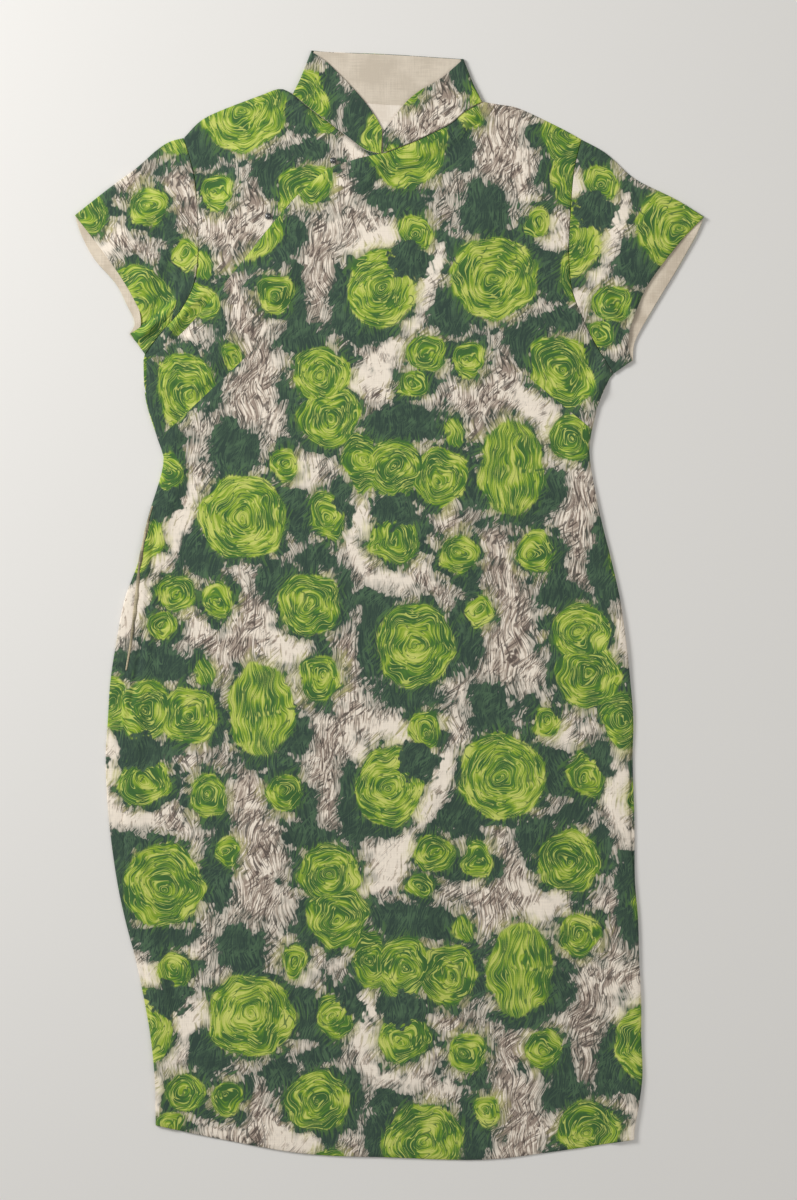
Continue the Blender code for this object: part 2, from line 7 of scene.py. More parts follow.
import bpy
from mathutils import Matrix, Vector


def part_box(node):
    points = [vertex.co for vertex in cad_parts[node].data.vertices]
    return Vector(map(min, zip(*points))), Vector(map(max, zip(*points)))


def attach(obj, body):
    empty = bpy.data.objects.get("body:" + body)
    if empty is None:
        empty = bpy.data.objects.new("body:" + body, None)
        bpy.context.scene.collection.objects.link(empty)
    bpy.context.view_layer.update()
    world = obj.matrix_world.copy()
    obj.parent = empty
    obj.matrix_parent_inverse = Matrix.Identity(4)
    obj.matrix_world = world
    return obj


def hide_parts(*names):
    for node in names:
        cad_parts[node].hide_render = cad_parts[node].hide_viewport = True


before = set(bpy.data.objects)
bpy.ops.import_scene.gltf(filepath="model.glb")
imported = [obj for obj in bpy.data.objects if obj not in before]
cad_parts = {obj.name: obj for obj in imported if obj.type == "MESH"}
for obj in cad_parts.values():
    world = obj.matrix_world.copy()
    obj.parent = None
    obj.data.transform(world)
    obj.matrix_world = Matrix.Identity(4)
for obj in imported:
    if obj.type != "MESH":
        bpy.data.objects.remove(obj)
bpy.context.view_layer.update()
print("nodes:", sorted(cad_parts))

# %% The rest of what the lesson needs
import math

import bmesh
import bpy
import numpy as np
from mathutils import Vector, noise

MM = 0.001

# %% [markdown]
# ## Camera, floor and light
# The photograph looks straight down at the dress, as from a copy stand. A long lens high above keeps
# the sides straight. Two wide, soft lamps from the left and the right leave the faint relief of
# the cloth. The floor is plain and pale.

# %% Camera straight above
# Metres, and millimetres for the sensor's width
FRAME_HEIGHT = 1.140
FRAME_CENTRE = (0.0085, 0.00475)
CAMERA_HEIGHT = 2.6
SENSOR = 36.0


def add_object(name, data):
    made = bpy.data.objects.new(name, data)
    bpy.context.scene.collection.objects.link(made)
    return made


camera_data = bpy.data.cameras.new("copy stand camera")
camera_data.sensor_width = SENSOR
camera_data.lens = SENSOR * CAMERA_HEIGHT / FRAME_HEIGHT
camera = add_object("copy stand camera", camera_data)
camera.location = (*FRAME_CENTRE, CAMERA_HEIGHT)
bpy.context.scene.camera = camera
print("lens:", round(camera_data.lens, 1), "mm")


# %% Colours as the eye reads them
def shade(red, green, blue):
    """A colour from its screen values, 0 to 255, as light, by the standard sRGB curve."""
    channels = np.array((red, green, blue)) / 255
    light = np.where(channels <= 0.04045, channels / 12.92, ((channels + 0.055) / 1.055) ** 2.4)
    return (*(float(value) for value in light), 1.0)


# %% Soft lamps and a pale floor
def soft_lamp(name, place, width, power):
    lamp = bpy.data.lights.new(name, "AREA")
    lamp.shape = "SQUARE"
    lamp.size = width
    lamp.energy = power
    holder = add_object(name, lamp)
    holder.location = place
    holder.rotation_mode = "QUATERNION"
    holder.rotation_quaternion = (-Vector(place)).to_track_quat("-Z", "Y")


def pale_floor():
    floor_mesh = bmesh.new()
    bmesh.ops.create_grid(floor_mesh, x_segments=1, y_segments=1, size=3.0)
    data = bpy.data.meshes.new("floor")
    floor_mesh.to_mesh(data)
    floor_mesh.free()
    floor = add_object("floor", data)
    paper = bpy.data.materials.new("pale floor")
    paper.use_nodes = True
    shader = paper.node_tree.nodes["Principled BSDF"]
    shader.inputs["Base Color"].default_value = shade(226, 224, 220)
    shader.inputs["Roughness"].default_value = 0.9
    data.materials.append(paper)


soft_lamp("left lamp", (-1.9, 1.2, 1.35), 0.9, 60)
soft_lamp("right lamp", (1.8, -0.4, 2.0), 1.6, 12)
world = bpy.data.worlds.new("soft room")
world.use_nodes = True
world.node_tree.nodes["Background"].inputs["Color"].default_value = (1.0, 0.99, 0.97, 1.0)
world.node_tree.nodes["Background"].inputs["Strength"].default_value = 0.36
bpy.context.scene.world = world
bpy.context.scene.view_settings.view_transform = "Standard"
pale_floor()
print("lamps:", [lamp.name for lamp in bpy.data.lights])

# %% [markdown]
# ## Drawing lines as a pattern maker does
# A pattern is a few measured points joined by smooth curves. Each helper below works on whole
# arrays of points at once, so a fine grid costs no more code than a coarse one. Close to a cloth
# edge a few more lines are crowded in, so the edge can turn down sharply.

# %% Soft steps and smooth lines
CURVE_STEPS = 40
# Millimetres from a cloth edge at which the extra lines lie, and the share of a line they may fill
EDGE_STEPS = (0.7, 1.6, 3.0, 4.6, 6.4, 8.4, 10.6, 13.2)
CROWDED_SHARE = 0.4


def ease(value):
    """0 below 0, 1 above 1, and a soft step between."""
    value = np.clip(value, 0.0, 1.0)
    return value * value * (3.0 - 2.0 * value)


def shares(count, length, start=True, end=True):
    """Even shares of a line of that length, crowded at the ends that are cloth edges."""
    near = np.array(EDGE_STEPS) / length
    near = near[near < CROWDED_SHARE]
    parts = [np.linspace(0, 1, count + 1)]
    if start:
        parts.append(near)
    if end:
        parts.append(1 - near)
    return np.unique(np.concatenate(parts))


def line_through(points, at):
    """Points at the given shares of the length of a smooth line through the given points."""
    knots = np.array(points, float)
    padded = np.vstack([knots[:1], knots, knots[-1:]])
    t = np.linspace(0, 1, CURVE_STEPS, endpoint=False)[:, None]
    trail = []
    for before, start, end, after in zip(padded, padded[1:], padded[2:], padded[3:]):
        pull = start * 2 + (end - before) * t
        pull = pull + (before * 2 - start * 5 + end * 4 - after) * t**2
        pull = pull + (start * 3 - before - end * 3 + after) * t**3
        trail.append(pull / 2)
    trail = np.vstack(trail + [knots[-1:]])
    steps = np.linalg.norm(np.diff(trail, axis=0), axis=1)
    reach = np.concatenate([[0], np.cumsum(steps)])
    wanted = np.asarray(at) * reach[-1]
    return np.column_stack([np.interp(wanted, reach, trail[:, axis]) for axis in (0, 1)])


def moved_aside(line, distance):
    """The same line moved to the left of its direction, for a seam's gap."""
    ahead = np.gradient(line, axis=0)
    aside = np.column_stack([-ahead[:, 1], ahead[:, 0]])
    return line + aside / np.linalg.norm(aside, axis=1)[:, None] * distance


def chain(*runs):
    """One line from runs that share their ends, each (points, weight, shares), with the marks that
    say how far along it every point lies."""
    total = sum(weight for _, weight, _ in runs)
    lines, marks, done = [], [], 0.0
    for points, weight, at in runs:
        skip = 1 if lines else 0
        lines.append(line_through(points, at)[skip:])
        marks.append((done + at[skip:] * weight) / total)
        done += weight
    return np.vstack(lines), np.concatenate(marks)


print("a curve of five points:", line_through(((0, 0), (10, 5), (20, 0)), shares(2, 20)).round(1).tolist())

# %% [markdown]
# ## The pattern in millimetres
# These are the dress's own sizes. The body is cut to the widths below, from hem to underarm. The
# curved edges are the shoulders, the slanting opening, the neck, the armholes and the cuffs. They
# are the same lines as the frame's, so each piece of cloth lies where its solid does.

# %% Widths of the body
# Columns: name, height, back's left edge, front's left edge, front's right edge, back's right edge
BODY = (
    ("hem corner", -500, -222.0, -221.0, 232.0, 232.5),
    ("hem turn", -450, -223.0, -222.0, 239.0, 240.0),
    ("calf", -410, -227.0, -226.0, 238.5, 239.0),
    ("knee", -375, -233.0, -229.5, 238.5, 239.0),
    ("above knee", -337, -241.0, -234.0, 236.5, 237.0),
    ("thigh", -299, -251.0, -243.0, 235.5, 236.0),
    ("mid thigh", -261, -259.0, -249.5, 232.0, 233.0),
    ("low hip", -204, -266.5, -253.0, 228.0, 232.5),
    ("full hip", -147, -269.5, -256.3, 228.5, 230.8),
    ("hip", -109, -267.5, -255.0, 230.5, 231.5),
    ("high hip", -71, -265.0, -251.5, 228.0, 228.5),
    ("placket", -33, -259.0, -245.5, 224.0, 224.5),
    ("placket top", 5, -251.5, -241.0, 218.5, 219.0),
    ("below waist", 43, -238.0, -237.0, 210.0, 210.5),
    ("low waist", 81, -230.0, -229.0, 200.5, 201.0),
    ("waist", 136, -214.5, -213.5, 190.0, 190.5),
    ("under bust", 157, -220.0, -219.0, 190.0, 190.5),
    ("bust", 195, -231.5, -230.5, 199.5, 200.0),
    ("underarm", 238, -234.0, -230.5, 220.0, 220.5),
)
BACK_LEFT, FRONT_LEFT, FRONT_RIGHT, BACK_RIGHT = 1, 2, 3, 4
HEM_LEFT_Y = -494.0
HEM_RIGHT_Y = -507.5
HEM = ((-221.5, -494), (-161, -507), (-80, -521), (0, -524.5), (85, -526.8), (150, -520), (232.5, -507.5))


def body_x(column, y):
    """A width read from the table at any height, smoothly."""
    table = np.array([row[1:] for row in BODY])
    heights, widths = table[:, 0], table[:, column]
    last = len(heights) - 1
    above = np.minimum(np.arange(last + 1) + 1, last)
    below = np.maximum(np.arange(last + 1) - 1, 0)
    slopes = (widths[above] - widths[below]) / (heights[above] - heights[below])
    y = np.clip(y, heights[0], heights[-1])
    i = np.clip(np.searchsorted(heights, y) - 1, 0, last - 1)
    span = heights[i + 1] - heights[i]
    t = (y - heights[i]) / span
    value = widths[i] * (2 * t**3 - 3 * t**2 + 1) + widths[i + 1] * (3 * t**2 - 2 * t**3)
    value = value + slopes[i] * span * (t**3 - 2 * t**2 + t)
    return value + slopes[i + 1] * span * (t**3 - t**2)


def side_line(column, bottom_y, top_y, at):
    y = bottom_y + (top_y - bottom_y) * np.asarray(at)
    return np.column_stack([body_x(column, y), y])


print("hip width:", float(body_x(FRONT_RIGHT, -109) - body_x(FRONT_LEFT, -109)), "mm")

# %% Edges of the upper body, the sleeves and the collar
SHOULDER_RIGHT = ((-195, 443.5), (-180, 459), (-161, 469), (-123, 483.5), (-104, 490), (-92.5, 485))
SHOULDER_LEFT = ((88.5, 477.5), (105, 475), (124, 471), (162, 453), (182, 442))
OPENING = (
    (-230.5, 232), (-196, 259.5), (-153.5, 309), (-97.5, 378), (-61.5, 411.5), (-35.5, 422), (-6, 428.5),
)
NECK_RIGHT = ((-92.5, 485), (-72.5, 468.5), (-56.5, 457), (-37.5, 442), (-23.5, 432), (-8, 427.5))
NECK_LEFT = ((-6, 428.5), (22.5, 439.5), (41.5, 448.5), (58.5, 457.5), (72.5, 469), (88.5, 477.5))
BACK_NECK = ((-92.5, 485), (-70, 481), (-47, 478.5), (14, 474.5), (60, 474.5), (88.5, 477.5))
UNDERLAP_EDGE = ((-186, 206), (-132.5, 266), (-77.5, 326), (-42.5, 367.5), (-22.5, 405), (-10, 423))
UNDERLAP_FOOT = ((-232, 236), (-210, 218), (-186, 206))
FACING_EDGE = ((-80, 466), (-56, 449), (-20, 419), (-2, 413), (40, 436), (62, 447), (78, 464))
ARMHOLE_RIGHT = (
    (-195, 443.5), (-185, 404), (-181.5, 352), (-184, 311.5), (-197, 281), (-216, 259.5), (-232, 238),
)
ARMHOLE_LEFT = (
    (182, 442), (174.5, 408.5), (170.5, 352), (170.5, 323), (174.5, 294.5), (190.5, 256.5), (212.5, 219.5),
)
BACK_ARMHOLE_RIGHT = (
    (-195, 443.5), (-189, 404), (-187, 352), (-190, 312), (-202, 282), (-218, 260), (-232, 240),
)
BACK_ARMHOLE_LEFT = ((182, 442), (177, 408), (175, 352), (178, 312), (187, 280), (199, 250), (212.5, 222))
SLEEVE_RIGHT = {
    "top": ((-195, 443.5), (-208.5, 440), (-221, 432), (-242, 413.5), (-268.5, 394), (-298.8, 370)),
    "front cuff": ((-298.8, 370), (-280.5, 346.5), (-255.5, 312), (-240, 285), (-234, 268), (-246, 257.5)),
    "back cuff": (
        (-298.8, 370), (-292.5, 351), (-280, 328), (-260, 305), (-249, 284), (-242, 268), (-247, 257),
    ),
}
SLEEVE_LEFT = {
    "top": ((182, 442), (201, 432), (212.5, 423), (234, 404), (272, 385), (298.8, 368.5)),
    "front cuff": (
        (298.8, 368.5), (277, 346), (250.5, 312), (238.5, 290.5), (228, 261), (227, 243), (230, 232),
    ),
    "back cuff": (
        (298.8, 368.5), (291, 350.5), (272, 317), (260, 297.5), (245.5, 273.5), (233, 250), (231, 232),
    ),
}
COLLAR_EDGE_RIGHT = (
    (-72.5, 524), (-60.5, 516), (-47.5, 503.5), (-33, 488.5), (-21.5, 475), (-12.5, 462), (-7, 451.5),
)
COLLAR_EDGE_LEFT = ((-6.2, 448.5), (3, 461), (16.5, 478), (31, 489.5), (48.5, 499.5), (68.5, 516.5))
COLLAR_EDGE_BACK = ((-72.5, 526.5), (-53, 525), (0, 523), (68.5, 518.5))

# Their rough lengths, which set how closely lines crowd in at a cloth edge
ARMHOLE_LENGTH, OPENING_LENGTH = 235, 300
RIGHT_SHOULDER_LENGTH, LEFT_SHOULDER_LENGTH = 120, 101
RIGHT_NECK_LENGTH, LEFT_NECK_LENGTH, BACK_NECK_LENGTH = 103, 107, 181
FRONT_SIDE_LENGTH, FRONT_ARMHOLE_LENGTH, BACK_SIDE_LENGTH = 700, 240, 730
SLEEVE_LENGTH, CUFF_FACING_HEIGHT, NECK_FACING_HEIGHT = 90, 24, 45
COLLAR_HEIGHT, COLLAR_LINING_HEIGHT = 50, 48
# How much of a piece's top edge each of its lines takes up, in columns of its solid's own grid
UNDERLAP_SHOULDER_WEIGHT, UNDERLAP_NECK_WEIGHT = 4, 5
OPENING_WEIGHT, FRONT_NECK_WEIGHT, FRONT_SHOULDER_WEIGHT = 11, 4, 5
BACK_SHOULDER_WEIGHT, BACK_NECK_WEIGHT = 4, 8


def length_of(line):
    return float(np.linalg.norm(np.diff(line, axis=0), axis=1).sum())


opening_line = line_through(OPENING, shares(60, OPENING_LENGTH))
print("the slanting opening is", round(length_of(opening_line)), "mm long")

# %% [markdown]
# ## Layers and what shows through them
# Laid flat, a dress is a stack. The back is layer 0, the facings and the small front that goes
# under the opening are layer 1, and the big front lies over them. Cloth that passes over an edge
# beneath it shows that edge as a soft step, so each layer's height comes from how far a point is
# from the outlines below it.

# %% Heights of the layers
# Millimetres: from layer to layer, under the lowest cloth's middle, and the cloth's own thickness
PITCH = 1.6
REST = 0.3
CLOTH = 0.5
# Millimetres past a lower edge where the cloth above starts to come down, and over which it does
COVER_MARGIN = 2.0
COVER_RAMP = 9.0


def layer_height(layer):
    return REST + layer * PITCH


def outline_of(field):
    """The edge of a grid of points, all the way round."""
    return np.vstack([field[0], field[1:, -1], field[-1, -2::-1], field[-2:0:-1, 0]])


def signed_distance(points, outline):
    """How far points lie outside a closed outline, below zero inside it."""
    flat = points.reshape(-1, 2)
    inside = np.zeros(len(flat), bool)
    nearest = np.full(len(flat), np.inf)
    for a, b in zip(outline, np.roll(outline, -1, axis=0)):
        edge = b - a
        length = max(float(edge @ edge), 1e-9)
        share = np.clip((flat - a) @ edge / length, 0, 1)
        nearest = np.minimum(nearest, np.linalg.norm(flat - a - share[:, None] * edge, axis=1))
        if a[1] != b[1]:
            spans = (a[1] > flat[:, 1]) != (b[1] > flat[:, 1])
            inside ^= spans & (flat[:, 0] < a[0] + edge[0] * (flat[:, 1] - a[1]) / edge[1])
    return np.where(inside, -nearest, nearest).reshape(points.shape[:-1])


def cover(points, outline):
    """1 over a piece that lies underneath, fading to 0 outside it."""
    return ease(1 - (signed_distance(points, outline) - COVER_MARGIN) / COVER_RAMP)


def spread(left, right, bottom, top, rows, columns, top_reach=1.0, bottom_reach=1.0):
    """A grid of points between two sides. Its rows take on the shape of the bottom and top edges
    close to them."""
    rows, columns = rows[:, None, None], columns[None, :, None]
    top_share = ease((rows - 1 + top_reach) / top_reach)
    bottom_share = ease((bottom_reach - rows) / bottom_reach)
    field = left[:, None] + (right - left)[:, None] * columns
    field = field + (top - top[0] - (top[-1] - top[0]) * columns[0])[None] * top_share
    return field + (bottom - bottom[0] - (bottom[-1] - bottom[0]) * columns[0])[None] * bottom_share


print("layer heights:", [round(layer_height(layer), 2) for layer in range(4)])

# %% [markdown]
# ## Creases placed one by one
# Cloth that has hung in a wardrobe and then been laid down keeps long soft waves, short drags at the
# waist and sharp little creases at the underarms. Each row below is one of them, from one end to the
# other, with its own height, width and bow. A height below zero is a trough. Under them lies a
# faint uneven swell, so no stretch of cloth is quite flat.

# %% The creases
# Columns: name, x and y of the start, x and y of the end, height, width, bow
CREASES = (
    ("right dart seam", -214, 163, -121, 250, -0.7, 2.4, 0),
    ("left dart seam", 186, 171, 116, 229, -0.7, 2.4, 0),
    ("right dart fold", -210, 152, -121, 240, 0.7, 8, 0),
    ("left dart fold", 182, 162, 112, 222, 0.7, 8, 0),
    ("right dart tip", -128, 243, -98, 262, 0.6, 12, 0),
    ("left dart tip", 122, 224, 92, 246, 0.6, 12, 0),
    ("placket groove", -222, 92, -249, -112, -0.9, 2.4, 4),
    ("right waist drag", -205, 120, -96, 84, 0.9, 15, -8),
    ("right waist trough", -200, 100, -110, 66, -0.6, 10, -6),
    ("left waist drag", 184, 128, 92, 96, 0.9, 14, 7),
    ("left waist trough", 186, 108, 118, 78, -0.5, 9, 5),
    ("right thigh wave", -128, -440, -92, -120, 1.5, 26, 14),
    ("middle wave", 12, -480, 30, -150, 1.2, 22, -10),
    ("middle trough", 62, -430, 70, -210, -0.6, 20, 8),
    ("left thigh wave", 138, -455, 126, -90, 1.4, 24, -9),
    ("left hem wave", 182, -512, 176, -380, 0.9, 16, 5),
    ("right hem wave", -182, -500, -176, -395, 0.8, 15, -4),
    ("right hip drag", -240, -60, -150, -92, 0.8, 13, 6),
    ("left hip drag", 222, -40, 138, -76, 0.7, 12, -6),
    ("stomach wave", -40, 60, 64, 22, 0.8, 20, 10),
    ("low stomach wave", -70, 6, 22, -22, 0.6, 18, -8),
    ("chest wave", 64, 300, 110, 398, 0.9, 18, 6),
    ("chest trough", 34, 292, 60, 372, -0.5, 13, 5),
    ("middle chest wave", -30, 250, -14, 352, 0.7, 17, -7),
    ("opening drag", -150, 272, -88, 330, 0.7, 9, 5),
    ("left underarm crease", 203, 236, 194, 196, 1.1, 6, 2),
    ("left underarm trough", 192, 246, 180, 206, -0.7, 6, 2),
    ("left side drag", 205, 200, 156, 214, 0.6, 8, -3),
    ("right shoulder wave", -146, 340, -122, 440, 0.9, 15, 5),
    ("right shoulder trough", -168, 352, -158, 436, -0.5, 10, 4),
    ("left shoulder wave", 132, 340, 138, 430, 0.8, 14, -5),
    ("right sleeve wave", -212, 402, -262, 334, 1.0, 12, 5),
    ("right sleeve second wave", -204, 352, -246, 296, 0.8, 10, 4),
    ("right sleeve crease", -192, 300, -236, 255, 2.8, 5, 3),
    ("right sleeve crease trough", -202, 304, -243, 262, -2.4, 4, 3),
    ("right underarm fold", -176, 296, -214, 250, 1.8, 5, -3),
    ("right underarm trough", -172, 278, -206, 240, -0.9, 4, -3),
    ("left sleeve wave", 208, 398, 252, 322, 1.1, 12, -5),
    ("left sleeve second wave", 188, 360, 236, 300, 0.7, 10, -4),
    ("left sleeve crease", 198, 316, 222, 250, 1.3, 7, -3),
    ("left sleeve crease trough", 206, 322, 231, 262, -0.8, 5, -3),
    ("left cuff crease", 232, 300, 226, 246, 0.9, 5, 2),
    ("collar wave", 30, 462, 58, 494, 0.5, 8, 3),
)
CREASE_STRENGTH = 1.5
# Shares of a crease's length: over which it fades in, and by which it runs on past its ends
CREASE_END = 0.3
CREASE_OVERRUN = 0.12
# How many swells a millimetre, and their height in millimetres
SWELLS = ((1 / 70, 0.7), (1 / 26, 0.28), (1 / 11, 0.09))


def crease_height(points):
    """Height of all creases together at each point."""
    total = np.zeros(points.shape[:-1])
    for _, x0, y0, x1, y1, height, width, bow in CREASES:
        run = np.array((x1 - x0, y1 - y0), float)
        length = np.linalg.norm(run)
        aside = np.array((-run[1], run[0])) / length
        offset = points - (x0, y0)
        along = offset @ run / length**2
        middle = np.clip(along * (1 - along), 0, None) * 4 * bow
        across = offset @ aside - middle
        ends = ease((along + CREASE_OVERRUN) / CREASE_END)
        ends = ends * ease((1 + CREASE_OVERRUN - along) / CREASE_END)
        total += height * ends * np.exp(-((across / width) ** 2))
    return total * CREASE_STRENGTH


def swell(points, seed):
    """A faint uneven rise and fall, different for each seed."""
    flat = points.reshape(-1, 2)
    total = np.zeros(len(flat))
    for fineness, height in SWELLS:
        for index, (x, y) in enumerate(flat):
            total[index] += noise.noise((x * fineness, y * fineness, seed)) * height
    return total.reshape(points.shape[:-1])


print("creases:", len(CREASES))

# %% [markdown]
# ## From a grid of points to a piece of cloth
# A piece of cloth is an open sheet of small faces. Solidify then gives it its half millimetre. Each
# point also carries its place on the bolt of printed cloth, before it was cut: the print reads that
# and so runs in its own direction on every piece, and breaks at the seams as real prints do.

# %% Where each piece was cut from the bolt
# Columns: x and y of a point of the laid piece, x and y of the same point on the bolt, turn in degrees
CUT_FROM = {
    "front": (0, 0, 0, 0, 0),
    "back": (0, 0, 0, 0, 0),
    "small_front": (0, 0, 239, -159, 0),
    "sleeve_right": (-237, 374, 57, 47, 18),
    "sleeve_left": (0, 0, -176, -47, 0),
    "collar_right": (0, 0, 250, -250, 0),
    "collar_left": (0, 0, 57, -260, 0),
}


def on_the_bolt(points, piece):
    """Where points of a laid piece were on the cloth before it was cut."""
    laid_x, laid_y, bolt_x, bolt_y, turn = CUT_FROM[piece]
    cosine, sine = math.cos(math.radians(turn)), math.sin(math.radians(turn))
    return (points - (laid_x, laid_y)) @ ((cosine, -sine), (sine, cosine)) + (bolt_x, bolt_y)


# Millimetres: how far an edge turns down, and over what width
UNDERLAP_TURN, FRONT_TURN, SLEEVE_TURN = (0.5, 1.6), (0.8, 1.8), (0.6, 1.6)


def turned_edge(points, outline, depth, width):
    """How far the cloth turns down close to its edge."""
    inside = np.maximum(-signed_distance(points, outline), 0)
    return -depth * np.exp(-((inside / width) ** 2))


# %% Cloth from a grid
def add_places(data, name, places):
    """Stores a place for each point of a mesh, for its material to read."""
    stored = np.zeros((len(places), 3), np.float32)
    stored[:, : places.shape[-1]] = places
    attribute = data.attributes.new(name, "FLOAT_VECTOR", "POINT")
    attribute.data.foreach_set("vector", stored.ravel())


def make_cloth(name, points, bolt, material, kept=None, above_dart=None):
    """A cloth piece from rows of points in millimetres and their places on the bolt. A darted
    piece also takes the places above its darts, with the distance from the dart as the third value."""
    rows, columns = points.shape[:2]
    index = np.arange(rows * columns).reshape(rows, columns)
    quads = np.stack([index[:-1, :-1], index[:-1, 1:], index[1:, 1:], index[1:, :-1]], axis=-1)
    if kept is not None:
        quads = quads[kept]
    quads = quads.reshape(-1, 4)
    used, quads = np.unique(quads, return_inverse=True)
    corners = points.reshape(-1, 3)[used] * MM
    data = bpy.data.meshes.new(name)
    data.from_pydata(corners.tolist(), [], quads.reshape(-1, 4).tolist())
    add_places(data, "bolt", bolt.reshape(-1, bolt.shape[-1])[used])
    if above_dart is not None:
        add_places(data, "above_dart", above_dart.reshape(-1, 3)[used])
    data.shade_smooth()
    data.materials.append(material)
    piece = add_object(name + ".cloth", data)
    solid = piece.modifiers.new("cloth", "SOLIDIFY")
    solid.thickness = CLOTH * MM
    solid.offset = 0.0
    solid.use_even_offset = False
    print(piece.name, "has", len(data.polygons), "faces")
    return piece


def raised(flat, layer):
    """Points in a layer, or in layers given point by point, as x, y and height."""
    height = layer_height(layer) + np.zeros(flat.shape[:-1])
    return np.concatenate([flat, height[..., None]], axis=-1)


# %% [markdown]
# ## Building blocks for the materials
# A procedural material is a small machine of nodes. These short helpers add one node each, wire it
# up and hand back what comes out, so that the print below reads as a recipe.

# %% One helper for each kind of node
def wire(tree, node, inputs):
    for name, value in inputs.items():
        if isinstance(value, bpy.types.NodeSocket):
            tree.links.new(value, node.inputs[name])
        else:
            node.inputs[name].default_value = value
    return node


def maths(tree, operation, *values):
    node = tree.nodes.new("ShaderNodeMath")
    node.operation = operation
    return wire(tree, node, dict(enumerate(values))).outputs[0]


def vectors(tree, operation, *values, result="Vector"):
    node = tree.nodes.new("ShaderNodeVectorMath")
    node.operation = operation
    return wire(tree, node, dict(enumerate(values))).outputs[result]


def mottle(tree, place, size, detail=2.0, roughness=0.55, result="Fac"):
    """Noise with features of about that size, in the units of place."""
    node = tree.nodes.new("ShaderNodeTexNoise")
    inputs = {"Vector": place, "Scale": 1 / size, "Detail": detail, "Roughness": roughness}
    return wire(tree, node, inputs).outputs[result]


def step_between(tree, value, low, high):
    """0 where value is below low and 1 where it is above high, softly between."""
    node = tree.nodes.new("ShaderNodeMapRange")
    node.interpolation_type = "SMOOTHSTEP"
    return wire(tree, node, {"Value": value, "From Min": low, "From Max": high}).outputs["Result"]


def mixed(tree, share, first, second):
    """A colour between two colours."""
    node = tree.nodes.new("ShaderNodeMix")
    node.data_type = "RGBA"
    wire(tree, node, {0: share, 6: first, 7: second})
    return node.outputs[2]


def chosen(tree, share, first, second):
    """A vector between two vectors."""
    node = tree.nodes.new("ShaderNodeMix")
    node.data_type = "VECTOR"
    wire(tree, node, {0: share, 4: first, 5: second})
    return node.outputs[1]


def split(tree, vector):
    node = tree.nodes.new("ShaderNodeSeparateXYZ")
    wire(tree, node, {0: vector})
    return node.outputs


def join(tree, x=0.0, y=0.0, z=0.0):
    node = tree.nodes.new("ShaderNodeCombineXYZ")
    return wire(tree, node, {0: x, 1: y, 2: z}).outputs[0]


def colour_ramp(tree, value, stops):
    node = tree.nodes.new("ShaderNodeValToRGB")
    wire(tree, node, {0: value})
    elements = node.color_ramp.elements
    while len(elements) < len(stops):
        elements.new(0.5)
    for element, (position, colour) in zip(elements, stops):
        element.position = position
        element.color = colour
    return node.outputs[0]


def nudged(tree, base, noise_value, reach, middle=0.5):
    """base, raised where a noise is above its middle and lowered where it is below."""
    return maths(tree, "MULTIPLY_ADD", maths(tree, "SUBTRACT", noise_value, middle), reach, base)


def drift(tree, place, size):
    """A smooth noise vector round zero, with swirls of about that size."""
    return vectors(tree, "SUBTRACT", mottle(tree, place, size, 0.0, result="Color"), (0.5, 0.5, 0.5))


def moved(tree, place, direction, reach):
    """A place shifted in the plane by a share of a direction."""
    return vectors(tree, "ADD", place, vectors(tree, "MULTIPLY", direction, (reach, reach, 0.0)))


def new_group(name, inputs, outputs):
    """An empty node group with its sockets, as (group, input sockets, output node)."""
    group = bpy.data.node_groups.new(name, "ShaderNodeTree")
    for socket, kind in inputs:
        group.interface.new_socket(socket, in_out="INPUT", socket_type="NodeSocket" + kind)
    for socket, kind in outputs:
        group.interface.new_socket(socket, in_out="OUTPUT", socket_type="NodeSocket" + kind)
    start = group.nodes.new("NodeGroupInput")
    end = group.nodes.new("NodeGroupOutput")
    return group, start.outputs, end


def use_group(tree, group, inputs):
    node = tree.nodes.new("ShaderNodeGroup")
    node.node_tree = group
    return wire(tree, node, inputs).outputs


# %% [markdown]
# ## The printed roses
# The cloth is printed with loosely painted cabbage roses in greens on cream, in a half-drop repeat.
# The chart below places the repeat's flowers, in rounded millimetres: a centre, two
# half sizes, and how yellow the flower is. It is a chart of ordinary flowers and holds no brush
# stroke of the original. All strokes come from noise, stretched round each flower.

# %% The repeat and its flowers
# The two steps that carry the repeat onto itself
REPEAT = np.array(((-238.0, -228.0), (246.0, -245.0)))

